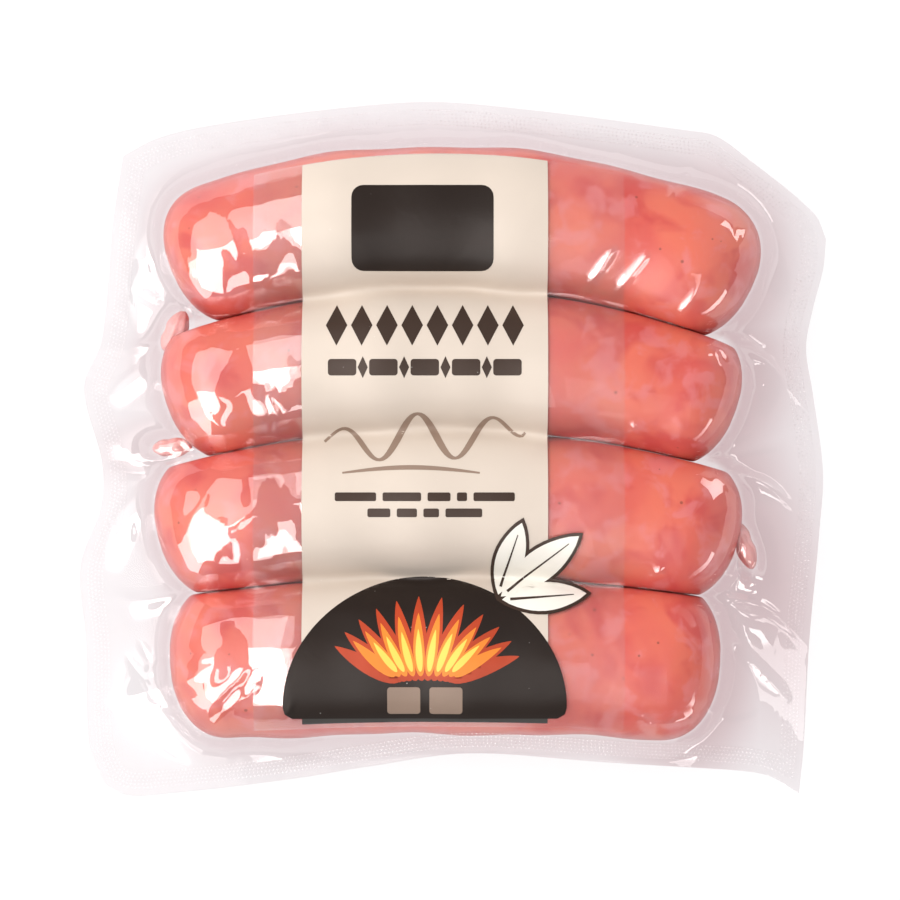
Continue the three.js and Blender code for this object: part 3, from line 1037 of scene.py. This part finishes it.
def roughened(tree, strength, distance, **cloud):
    """A surface direction made uneven by cloudy noise."""
    inputs = {key.title(): value for key, value in cloud.items()}
    height = first_output(tree, "ShaderNodeTexNoise", {"Vector": object_place(tree), **inputs})
    inputs = {"Height": height, "Strength": strength, "Distance": distance}
    return first_output(tree, "ShaderNodeBump", inputs)


def new_material(name):
    material = bpy.data.materials.new(name)
    material.use_nodes = True
    material.node_tree.nodes.clear()
    return material, material.node_tree


def finished(material, kind, inputs):
    """The material with its surface, a shader of that kind."""
    tree = material.node_tree
    surface = first_output(tree, kind, inputs)
    wire(tree, surface, tree.nodes.new("ShaderNodeOutputMaterial").inputs[0])
    return material


def rgba(colour):
    return (*colour, 1.0)


# Materials

WHITE = (1.0, 1.0, 1.0, 1.0)
MILKY = (0.95, 0.88, 0.85, 1.0)
WORN_INK = (0.8, 0.75, 0.7, 1.0)


def meat_material(name, colours, shift, casing_share):
    """Raw sausage: mottled pink meat with pale fat, red patches and pepper under a casing, with
    painted shade on its flanks and in the lines between sausages.
    """
    material, tree = new_material(name)
    broad = mottle(tree, scale=60.0, detail=2.0, middle=0.5, softness=0.2, shift=shift)
    red = mottle(tree, scale=100.0, detail=2.5, middle=0.57, softness=0.1, shift=shift + 0.3)
    fat = mottle(tree, scale=150.0, detail=3.0, middle=0.58, softness=0.08, shift=shift + 0.7)
    pepper = flecks(tree, scale=420.0, size=0.16, share=0.3)
    normal = outputs_of(tree, "ShaderNodeTexCoord")["Normal"]
    upright = outputs_of(tree, "ShaderNodeSeparateXYZ", {0: normal})[2]
    colour = rgba(colours.meat)
    for share, tone in (
        (broad, colours.meat_orange),
        (red * 0.75, colours.meat_red),
        (fat * 0.5, colours.fat),
        (pepper * 0.6, colours.pepper),
        # Painted shade: darker where the surface turns away from straight up, on the flanks and in the
        # lines between sausages.
        (smooth_range(tree, upright, 0.7, 0.0) * 0.5, colours.meat_side),
        (casing_share, colours.casing),
    ):
        colour = mixed(tree, share, colour, rgba(tone))
    look = {
        "Base Color": colour,
        "Roughness": broad * 0.1 + 0.32,
        "Normal": roughened(tree, 0.35, 0.0004, scale=260.0, detail=2.0),
        "Subsurface Weight": 0.35,
        "Subsurface Radius": (1.0, 0.35, 0.25),
        "Subsurface Scale": 0.004,
        "Specular IOR Level": 0.25,
    }
    return finished(material, "ShaderNodeBsdfPrincipled", look)


def film_material(name, colours, clear_share, gloss_share, haze=0.0):
    """Clear film: see-through with a tint, some haze, and gloss that grows at a slant."""
    material, tree = new_material(name)
    juice_and_painted_shade, dull = (
        outputs_of(tree, "ShaderNodeAttribute", attribute_name=layer)["Fac"] for layer in FILM_LAYERS
    )
    # The film is tinted darker beside the meat: partly juice, partly painted shade.
    tint = mixed(tree, juice_and_painted_shade, rgba(colours.film), rgba(colours.film_wet))
    tint = mixed(tree, clear_share, tint, WHITE)
    clear = first_output(tree, "ShaderNodeBsdfTransparent", {"Color": tint})
    if haze:
        milky = first_output(tree, "ShaderNodeBsdfDiffuse", {"Color": MILKY})
        clear = first_output(tree, "ShaderNodeMixShader", {0: haze, 1: clear, 2: milky})
    wavy = roughened(tree, 0.5, 0.0002, scale=200.0, detail=1.5)
    look = {"Color": WHITE, "Roughness": 0.0, "Normal": wavy}
    gloss = first_output(tree, "ShaderNodeBsdfGlossy", look)
    slant = first_output(tree, "ShaderNodeFresnel", {"IOR": 1.5, "Normal": wavy})
    from_inside = outputs_of(tree, "ShaderNodeNewGeometry")["Backfacing"]
    shine = (slant * 0.5 + gloss_share) * (1.0 - from_inside) * (1.0 - dull)
    return finished(material, "ShaderNodeMixShader", {0: shine, 1: clear, 2: gloss})


def ink_material(name, colour, depth):
    """Printed ink under a glossy skin, slightly uneven in tone."""
    material, tree = new_material(name)
    cloud = mottle(tree, scale=60.0, detail=3.0, middle=0.5, softness=0.25)
    worn = flecks(tree, scale=900.0, size=0.14, share=0.05)
    deeper = [depth * part for part in colour]
    tone = mixed(tree, cloud * 0.6, rgba(colour), rgba(deeper))
    look = {
        "Base Color": mixed(tree, worn * 0.35, tone, WORN_INK),
        "Roughness": cloud * 0.08 + 0.3,
        "Normal": roughened(tree, 0.35, 0.0003, scale=120.0, detail=3.0, distortion=0.7),
        "Specular IOR Level": 0.12,
    }
    return finished(material, "ShaderNodeBsdfPrincipled", look)


def floor_material(colour):
    """A pale table that is lit from below, so that shadows on it stay light."""
    material, _ = new_material("pale_floor")
    material.cycles.emission_sampling = "NONE"
    look = {
        "Base Color": rgba(colour),
        "Roughness": 0.8,
        "Specular IOR Level": 0.0,
        "Emission Color": WHITE,
        "Emission Strength": 0.82,
    }
    return finished(material, "ShaderNodeBsdfPrincipled", look)


# Geometry Nodes, in metres

TIP_CROWDING = 0.105  # how much closer a sausage's stations lie at its tips
CONTACT_BLEND = 0.0006
TABLE_BLEND = 0.0004


def shaped(tree, kind, form, inputs=(), **settings):
    """What a Geometry Nodes node of that kind makes of a form."""
    return first_output(tree, f"GeometryNode{kind}", {0: form, **dict(inputs)}, **settings)


def finish_form(tree, form, material, end):
    """Ends a tree with its form made real and smooth, in its material."""
    smooth = shaped(tree, "SetShadeSmooth", shaped(tree, "RealizeInstances", form))
    wire(tree, shaped(tree, "SetMaterial", smooth, {"Material": material}), end)
    return tree


def sausage_tree():
    """A sausage: a bent, lumpy, blunt-ended body, flat where it meets a neighbour or the table."""
    inputs = {
        "Middle Y": 0.0,
        "Arch": 0.01,
        "Left Tip": -0.063,
        "Right Tip": 0.063,
        "Half Width": 0.016,
        "Half Height": 0.0155,
        "Middle Height": 0.0145,
        "Contact Gap": 0.00003,
        "Table Gap": 0.0003,
        "Lump": 0.0003,
        "Lump Number": 0.0,
        "Stations": 150,
        "Sides": 73,
        "Material": None,
    }
    for label, far_off in (("Front", -1.0), ("Back", 1.0)):
        inputs[label + " Neighbour Y"] = far_off
        inputs[label + " Neighbour Arch"] = 0.01
        inputs[label + " Share"] = 0.5
    tree, given, end = new_group("sausage", "GeometryNodeTree", inputs, "Geometry")
    counts = {"Vertices X": given["Stations"], "Vertices Y": given["Sides"]}
    grid = first_output(tree, "GeometryNodeMeshGrid", {"Size X": 1.0, "Size Y": 1.0, **counts})
    place = first_output(tree, "GeometryNodeInputPosition")
    place = outputs_of(tree, "ShaderNodeSeparateXYZ", {0: place})
    share = place[0] + 0.5
    turn = (place[1] + 0.5) * (2 * math.pi)
    eased = share - (share * (2 * math.pi)).math("SINE") * TIP_CROWDING

    def radius_of(arch):
        return (arch * arch + (ARCH_HALF_SPAN * MM) ** 2) / (arch * 2.0)

    def along_to(tip):
        return radius * ((tip - ARCH_X * MM) / radius).math("ARCSINE")

    radius = radius_of(given["Arch"])
    left, right = along_to(given["Left Tip"]), along_to(given["Right Tip"])
    along = left + (right - left) * eased
    cap = CAP_LENGTH * MM
    into_cap = (along - right + cap).math("MAXIMUM", left + cap - along).math("MAXIMUM", 0.0) / cap
    into_cap = into_cap.math("MINIMUM", 1.0)
    girth = (1.0 - into_cap**CAP_POWER).math("MAXIMUM", 0.0) ** (1 / CAP_POWER)
    waves = [
        (along * (2 * math.pi / (size * MM)) + given["Lump Number"] * number).math("SINE")
        for size, number in zip(LUMP_LENGTHS, LUMP_TURNS)
    ]
    swell = given["Lump"] * (waves[0] + waves[1] * 0.5)
    outward = girth * turn.math("COSINE")
    reach = (outward.math("ABSOLUTE") ** CAP_POWER + into_cap**CAP_POWER) ** (2 / CAP_POWER)
    upright = turn.math("SINE").math("SIGN") * (1.0 - reach).math("MAXIMUM", 0.0).math("SQRT")
    height = (given["Half Height"] + swell) * upright
    aside = (given["Half Width"] + swell) * outward
    angle = along / radius
    middle = given["Middle Y"] - radius
    axis_x = radius * angle.math("SINE")
    axis_y = middle + radius * angle.math("COSINE")

    def contact(label):
        neighbour = radius_of(given[label + " Neighbour Arch"])
        dy = axis_y - (given[label + " Neighbour Y"] - neighbour)
        gap = ((axis_x * axis_x + dy * dy).math("SQRT") - neighbour).math("ABSOLUTE")
        return gap * given[label + " Share"] - given["Contact Gap"]

    aside = aside.math("SMOOTH_MIN", contact("Back"), CONTACT_BLEND)
    aside = aside.math("SMOOTH_MAX", contact("Front") * -1.0, CONTACT_BLEND)
    out = radius + aside
    x = out * angle.math("SINE") + ARCH_X * MM
    y = middle + out * angle.math("COSINE")
    z = (given["Middle Height"] + height).math("SMOOTH_MAX", given["Table Gap"], TABLE_BLEND)
    position = first_output(tree, "ShaderNodeCombineXYZ", {0: x, 1: y, 2: z})
    body = shaped(tree, "SetPosition", grid, {"Position": position})
    closed = shaped(tree, "MergeByDistance", body, {"Distance": 1e-6})
    return finish_form(tree, closed, given["Material"], end)


def knurl_tree():
    """Rows of small domes along a path: the pressed dots of a heat seal."""
    inputs = {
        "Geometry": None,
        "Spacing": 0.0009,
        "Dot Radius": 0.0003,
        "Dot Height": 0.28,
        "Material": None,
    }
    tree, given, end = new_group("seal_dots", "GeometryNodeTree", inputs, "Geometry")
    path = shaped(tree, "MeshToCurve", given["Geometry"])
    spaced = shaped(tree, "ResampleCurve", path, {"Length": given["Spacing"]}, mode="LENGTH")
    ball = {"Radius": given["Dot Radius"], "Subdivisions": 1}
    dot = first_output(tree, "GeometryNodeMeshIcoSphere", ball)
    flat = first_output(tree, "ShaderNodeCombineXYZ", {0: 1.0, 1: 1.0, 2: given["Dot Height"]})
    dome = shaped(tree, "Transform", dot, {"Scale": flat})
    dots = shaped(tree, "InstanceOnPoints", spaced, {"Instance": dome})
    return finish_form(tree, dots, given["Material"], end)


# Settings


def colour_property(name, description, default):
    return bpy.props.FloatVectorProperty(
        name=name, description=description, default=default, subtype="COLOR", min=0, max=1, size=3
    )


def length_property(name, description, default):
    return bpy.props.FloatProperty(name=name, description=description, default=default, unit="LENGTH")


class PackSizes(bpy.types.PropertyGroup):
    """Sizes of the film, the sausages and the label."""

    film_edge: length_property("Film edge", "Thickness of the sealed border", FILM_EDGE * MM)
    film_gap: length_property("Film gap", "Room between the film and the sausages", 0.3 * MM)
    film_ripple: length_property("Film ripple", "Height of the ripples in the tight film", 0.11 * MM)
    label_lift: length_property("Label lift", "How far the label stands off the film", 0.1 * MM)
    label_sheet: length_property("Label sheet", "Thickness of the clear label", 0.09 * MM)
    ink_step: length_property("Ink step", "Rise from one printed layer to the next", 0.03 * MM)
    seal_inset: length_property("Seal inset", "How far in from the edge the seal begins", 1.8 * MM)
    seal_row: length_property("Seal row", "Distance between rows of seal dots", 0.8 * MM)


class PackColours(bpy.types.PropertyGroup):
    """Colours of the meat, the film and the print, in linear values."""

    meat: colour_property("Meat", "Main tone of the sausages", (0.69, 0.13, 0.104))
    meat_orange: colour_property("Warm meat", "Warmer, paler patches", (0.75, 0.178, 0.114))
    meat_red: colour_property("Red meat", "Deeper patches", (0.6, 0.08, 0.072))
    # Painted shade of the flanks and of the lines between sausages.
    meat_side: colour_property("Meat side", "Flanks and the lines between sausages", (0.5, 0.04, 0.03))
    fat: colour_property("Fat", "Pale, cool patches", (0.74, 0.25, 0.25))
    casing: colour_property("Casing", "Empty ends of the casing", (0.87, 0.5, 0.47))
    pepper: colour_property("Pepper", "Dark specks", (0.2, 0.06, 0.04))
    film: colour_property("Film", "Tint of the clear film", (0.942, 0.922, 0.928))
    # Partly the pink of juice, partly painted shade beside the meat.
    film_wet: colour_property("Wet film", "Tint of the film beside the meat", (0.83, 0.74, 0.75))
    cream: colour_property("Cream", "Band of the label", (0.63, 0.533, 0.45))
    charcoal: colour_property("Charcoal", "Dark fields", (0.022, 0.014, 0.011))
    slate: colour_property("Slate", "Grey fields", (0.06, 0.055, 0.05))
    brown: colour_property("Brown", "Dark marks on the band", (0.05, 0.03, 0.022))
    taupe: colour_property("Taupe", "Soft marks on the band", (0.29, 0.2, 0.15))
    flame_red: colour_property("Flame red", "Outer tongues", (0.5, 0.06, 0.02))
    flame_orange: colour_property("Flame orange", "Middle tongues", (0.83, 0.24, 0.03))
    flame_yellow: colour_property("Flame yellow", "Inner tongues", (0.93, 0.6, 0.1))
    off_white: colour_property("Off white", "Leaves", (0.83, 0.78, 0.7))
    floor: colour_property("Floor", "Pale floor", (0.2, 0.2, 0.2))


def sizes():
    return bpy.context.scene.pack_sizes


def colours():
    return bpy.context.scene.pack_colours


# Stage: the floor in millimetres, the camera and the lamps in metres

FLOOR_CORNERS = ((-3000, -3000), (3000, -3000), (3000, 3000), (-3000, 3000))
FLOOR_Z = -0.02
CAMERA_LENS = 180
VIEW_WIDTH = 0.198
VIEW_CENTRE = (-0.00066, -0.00022)
FOCUS_HEIGHT = 0.02
SKY = (0.95, 0.97, 1.0, 1.0)
SKY_STRENGTH, SKY_MIRRORED_LESS = 0.86, 0.55
LAMP_COLOUR = (1.0, 0.985, 0.965)
LAMPS = (  # name, place, tilt or aimed at the pack, size, power, seen in reflections or not
    ("shine_card", (-0.33, -0.27, 0.42), (16, 0), (0.59, 0.73), 8.0, True),
    ("glow_card", (-0.3, -0.05, 0.3), (0, 0), (0.51, 0.9), 3.3, True),
    ("left_card", (-0.55, -0.5, 0.24), None, (0.6, 0.5), 4.7, True),
    ("front_strip", (0.08, -0.33, 0.42), (16, 0), (0.085, 0.5), 0.75, True),
    ("right_strip", (0.45, -0.5, 0.09), None, (0.5, 0.09), 0.75, True),
    ("back_strip", (0.45, 0.4, 0.14), None, (0.35, 0.14), 0.75, True),
    ("fill_card", (-0.36, 0.16, 0.5), None, (0.8, 0.8), 4.6, False),
)


def add_lamp(scene, name, place, tilt, size, power, shines):
    """A soft card of light that only shines in reflections or only lights what is dull."""
    light = bpy.data.lights.new(name, "AREA")
    light.shape = "RECTANGLE"
    light.size, light.size_y = size
    light.energy = power
    light.color = LAMP_COLOUR
    lamp = bpy.data.objects.new(name, light)
    lamp.location = place
    if tilt:
        lamp.rotation_euler = (math.radians(tilt[0]), math.radians(tilt[1]), 0)
    else:
        lamp.rotation_euler = (-Vector(place)).to_track_quat("-Z", "Y").to_euler()
    lamp.visible_camera = False
    lamp.visible_glossy = shines
    lamp.visible_diffuse = not shines
    scene.collection.objects.link(lamp)


# Operators


class PACK_OT_add_stage(bpy.types.Operator):
    """Adds the pale floor, the soft studio lights and the camera over the pack"""

    bl_idname = "pack.add_stage"
    bl_label = "Add stage"

    def execute(self, context):
        scene = context.scene
        scene.view_settings.view_transform = "Standard"
        scene.cycles.caustics_reflective = False
        scene.cycles.max_bounces = 8
        scene.cycles.diffuse_bounces = 3
        scene.cycles.glossy_bounces = 2
        corners = [(x, y, FLOOR_Z) for x, y in FLOOR_CORNERS]
        floor = make_object("floor", corners, [(0, 1, 2, 3)], floor_material(colours().floor))
        world = bpy.data.worlds.new("studio")
        world.use_nodes = True
        tree = world.node_tree
        background = tree.nodes["Background"].inputs
        background["Color"].default_value = SKY
        mirrored = outputs_of(tree, "ShaderNodeLightPath")["Is Glossy Ray"]
        wire(tree, mirrored * -SKY_MIRRORED_LESS + SKY_STRENGTH, background["Strength"])
        scene.world = world
        for lamp in LAMPS:
            add_lamp(scene, *lamp)
        camera = bpy.data.cameras.new("camera")
        camera.lens = CAMERA_LENS
        camera.clip_start, camera.clip_end = 0.05, 20
        view = bpy.data.objects.new("camera", camera)
        distance = VIEW_WIDTH * camera.lens / camera.sensor_width
        view.location = (*VIEW_CENTRE, FOCUS_HEIGHT + distance)
        scene.collection.objects.link(view)
        scene.camera = view
        return {"FINISHED"}


class PACK_OT_add_sausages(bpy.types.Operator):
    """Adds the four sausages, each a Geometry Nodes body settled against its neighbours"""

    bl_idname = "pack.add_sausages"
    bl_label = "Add sausages"

    def execute(self, context):
        tree = sausage_tree()
        gap = sizes().film_gap
        last = len(SAUSAGES) - 1
        for index, sausage in enumerate(SAUSAGES):
            name = f"sausage_{index + 1}"
            shift = 0.31 * index
            material = meat_material(f"raw_{name}", colours(), shift, casing_share=0.0)
            host = make_object(name, [(0, 0, 0)], [], material)
            values = {
                "Middle Y": sausage.middle_y * MM,
                "Arch": sausage.arch * MM,
                "Left Tip": sausage.left_tip * MM + gap,
                "Right Tip": sausage.right_tip * MM - gap,
                "Half Width": sausage.half_width * MM - gap,
                "Half Height": sausage.half_height * MM - gap,
                "Middle Height": (sausage.half_height - SETTLE) * MM,
                "Lump": LUMP * MM,
                "Lump Number": float(index),
                "Table Gap": gap,
                "Material": material,
            }
            for label, other in (("Front", index - 1), ("Back", index + 1)):
                if 0 <= other <= last:
                    beside = SAUSAGES[other]
                    values[label + " Neighbour Y"] = beside.middle_y * MM
                    values[label + " Neighbour Arch"] = beside.arch * MM
                    width = sausage.half_width + beside.half_width
                    values[label + " Share"] = sausage.half_width / width
            settle_piece(grown(host, tree, values), "vacuum_pack", slot="film_pack")
        return {"FINISHED"}


class PACK_OT_add_casing_tails(bpy.types.Operator):
    """Adds the twisted ends of the casings that stick out between the sausages"""

    bl_idname = "pack.add_casing_tails"
    bl_label = "Add casing tails"

    def execute(self, context):
        material = meat_material("raw_casing", colours(), shift=2.4, casing_share=0.8)
        for number, tail in enumerate(CASING_TAILS):
            piece = make_object(f"casing_tail_{number + 1}", *casing_tail(tail), material)
            shape = bmesh.new()
            shape.from_mesh(piece.data)
            bmesh.ops.recalc_face_normals(shape, faces=shape.faces[:])
            shape.to_mesh(piece.data)
            shape.free()
            shade_smooth(piece)
            settle_piece(piece, "vacuum_pack", slot="film_pack")
        return {"FINISHED"}


class PACK_OT_add_film(bpy.types.Operator):
    """Adds the clear film: one closed skin round the sausages, out to its sealed edge"""

    bl_idname = "pack.add_film"
    bl_label = "Add film"

    def execute(self, context):
        material = film_material("clear_film", colours(), clear_share=0.0, gloss_share=0.075)
        x, y = film_grid()
        edge = sizes().film_edge / MM
        top = film_height(x, y, edge, sizes().film_ripple / MM)
        low_x, low_y = x[::2, ::2], y[::2, ::2]
        low = bottom_height(low_x, low_y, edge)
        sheets = (x, y, top), (low_x, low_y, low)
        points = np.concatenate([np.stack(sheet, axis=-1).reshape(-1, 3) for sheet in sheets])
        film = make_object("film", points, envelope_faces(*x.shape), material)
        shade_smooth(film)
        for name, values in zip(FILM_LAYERS, film_layers(points[:, 0], points[:, 1])):
            add_layer(film, name, values)
        settle_piece(film, "vacuum_pack", slot="film_pack")
        return {"FINISHED"}


class PACK_OT_add_seal_dots(bpy.types.Operator):
    """Adds the pressed dots of the heat seal in rows round the film's border"""

    bl_idname = "pack.add_seal_dots"
    bl_label = "Add seal dots"

    def execute(self, context):
        material = film_material("clear_seal", colours(), clear_share=0.5, gloss_share=0.1)
        inset, row = sizes().seal_inset / MM, sizes().seal_row / MM
        points, edges = [], []
        for number in range(SEAL_ROWS):
            line = inset_edge(inset + number * row)
            numbers = list(range(len(points), len(points) + len(line)))
            edges += zip(numbers, numbers[1:] + numbers[:1])
            z = film_height(*line.T, sizes().film_edge / MM, 0.0)
            points += np.column_stack([line, z]).tolist()
        host = make_object("seal_dots", points, [], material, edges)
        dots = grown(host, knurl_tree(), {"Material": material})
        settle_piece(dots, "vacuum_pack", slot="film_pack")
        return {"FINISHED"}


class PACK_OT_add_label(bpy.types.Operator):
    """Adds the clear label sheet that lies over the film from flank to flank"""

    bl_idname = "pack.add_label"
    bl_label = "Add label"

    def execute(self, context):
        material = film_material("clear_label", colours(), 1.0, gloss_share=0.06, haze=0.025)
        outline = band_outline(LABEL_LEFT, LABEL_RIGHT, LABEL_FRONT_ROW, LABEL_BACK_ROW)
        lift, sheet = sizes().label_lift / MM, sizes().label_sheet / MM
        label = drape("label_sheet", [outline], lift, sheet, material)
        places = np.array([v.co[:2] for v in label.data.vertices]).T / MM
        add_layer(label, "dull", np.maximum(valley_share(*places, 3.5), calm_share(*places)))
        settle_piece(label, "label", slot="label")
        return {"FINISHED"}


class PACK_OT_add_print(bpy.types.Operator):
    """Adds the print: plain fields of colour and simple shapes on the label"""

    bl_idname = "pack.add_print"
    bl_label = "Add print"

    def execute(self, context):
        middle = BAND_MIDDLE
        xs = np.linspace(BAND_LEFT, BAND_RIGHT, 24)
        seam = [(x, SLATE_BACK) for x in xs]
        back = row_line_y(LABEL_BACK_ROW - 0.05, xs)
        front = row_line_y(LABEL_FRONT_ROW + 0.35, xs)
        cream = seam + list(zip(xs, back))[::-1]
        slate = list(zip(xs, front)) + seam[::-1]
        plate = rounded_rectangle(
            middle + PLATE_LEFT, PLATE_FRONT, middle + PLATE_RIGHT, PLATE_BACK, 2.6
        )
        arc = np.linspace(0, math.pi, 60)
        dome = [(DOME_HALF_WIDTH * math.cos(a), DOME_HEIGHT * math.sin(a)) for a in arc]
        dome = [(middle + x, DOME_Y + y) for x, y in (*dome, *DOME_FOOT)]
        places = [step - (TITLE_COUNT - 1) / 2 for step in range(TITLE_COUNT)]
        title = [lozenge(middle + TITLE_STEP * place, TITLE_Y, 2.35, 4.5) for place in places]
        rule = [bar(middle + x, RULE_Y, 6.2, 3.6, 0.7) for x in RULE_BARS]
        rule += [lozenge(middle + x, RULE_Y, 1.1, 2.4) for x in RULE_LOZENGES]
        dashes = []
        for y, widths in DASH_LINES:
            start = middle - (sum(widths) + DASH_GAP * (len(widths) - 1)) / 2
            for width in widths:
                dashes.append(bar(start + width / 2, y, width, DASH_HEIGHT, 0.4))
                start += width + DASH_GAP
        t = np.linspace(0, 1, 70)
        hump = np.sin(math.pi * t)
        phase = 2 * math.pi * (2.6 * t + 0.05)
        height = 2.6 + 5.2 * np.sin(phase) * hump**0.5 + 2 * (t - 0.5)
        wave = ribbon(middle - 22 + 44 * t, height, 0.3 + 0.5 * np.abs(np.cos(phase)) * hump)
        swash = ribbon(middle - 18 + 30 * t, -5.2 + 1.2 * hump, 0.2 + 0.3 * hump)
        reds, oranges, yellows = (burst(*flames) for flames in FLAMES)
        squares = [bar(middle + x, DOME_Y + 1.6, 7.2, 6, 0.7) for x in (-4.6, 4.6)]
        rims, blades, veins = [], [], []
        for turn, length, width in LEAVES:
            way = np.array([math.sin(math.radians(turn)), math.cos(math.radians(turn))])
            rims.append(leaf(*SPRIG, turn, length, width))
            blades.append(leaf(*(SPRIG + 1.2 * way), turn, length - 2.4, width - 1.5))
            line = np.array(SPRIG) + np.linspace(3, length - 4, 12)[:, None] * way
            veins.append(ribbon(*line.T, np.linspace(0.3, 0.1, 12)))
        c = colours()
        layers = (
            ("print_cream_band", [cream], 0, c.cream, 0.93),
            ("print_slate_band", [slate], 0, c.slate, 0.7),
            ("print_dark_fields", [plate, dome], 1, c.charcoal, 0.7),
            ("print_brown_marks", title + rule + dashes, 1, c.brown, 0.8),
            ("print_taupe_strokes", [wave, swash], 1, c.taupe, 0.85),
            ("print_red_tongues", reds, 2, c.flame_red, 0.6),
            ("print_grey_squares", squares, 4, c.taupe, 0.8),
            ("print_orange_tongues", oranges, 3, c.flame_orange, 0.75),
            ("print_yellow_tongues", yellows, 4, c.flame_yellow, 0.85),
            ("print_leaf_rims", rims, 3, c.brown, 0.8),
            ("print_leaf_blades", blades, 4, c.off_white, 0.92),
            ("print_leaf_veins", veins, 5, c.brown, 0.8),
        )
        step = sizes().ink_step / MM
        base_lift = (sizes().label_lift + sizes().label_sheet) / MM + 0.01
        for name, outlines, layer, colour, depth in layers:
            ink = ink_material(name.replace("print", "ink"), colour, depth)
            piece = drape(name, outlines, base_lift + layer * step, step * 0.7, ink)
            settle_piece(piece, "label", slot="label")
        return {"FINISHED"}


class PACK_PT_sidebar(bpy.types.Panel):
    """Sizes, colours and steps of the pack"""

    bl_idname = "PACK_PT_sidebar"
    bl_label = "Vacuum pack"
    bl_space_type = "VIEW_3D"
    bl_region_type = "UI"
    bl_category = "Pack"

    def draw(self, context):
        for settings in (context.scene.pack_sizes, context.scene.pack_colours):
            box = self.layout.box()
            for key in settings.__annotations__:
                box.prop(settings, key)
        for operator in OPERATORS:
            self.layout.operator(operator.bl_idname)


OPERATORS = (
    PACK_OT_add_stage,
    PACK_OT_add_sausages,
    PACK_OT_add_casing_tails,
    PACK_OT_add_film,
    PACK_OT_add_seal_dots,
    PACK_OT_add_label,
    PACK_OT_add_print,
)
CLASSES = (PackSizes, PackColours, *OPERATORS, PACK_PT_sidebar)


def register():
    for item in CLASSES:
        bpy.utils.register_class(item)
    bpy.types.Scene.pack_sizes = bpy.props.PointerProperty(type=PackSizes)
    bpy.types.Scene.pack_colours = bpy.props.PointerProperty(type=PackColours)


def unregister():
    del bpy.types.Scene.pack_colours
    del bpy.types.Scene.pack_sizes
    for item in reversed(CLASSES):
        bpy.utils.unregister_class(item)


def main():
    register()
    bpy.ops.pack.add_stage()
    bpy.ops.pack.add_sausages()
    bpy.ops.pack.add_casing_tails()
    bpy.ops.pack.add_film()
    bpy.ops.pack.add_seal_dots()
    bpy.ops.pack.add_label()
    bpy.ops.pack.add_print()


if __name__ == "__main__":
    main()
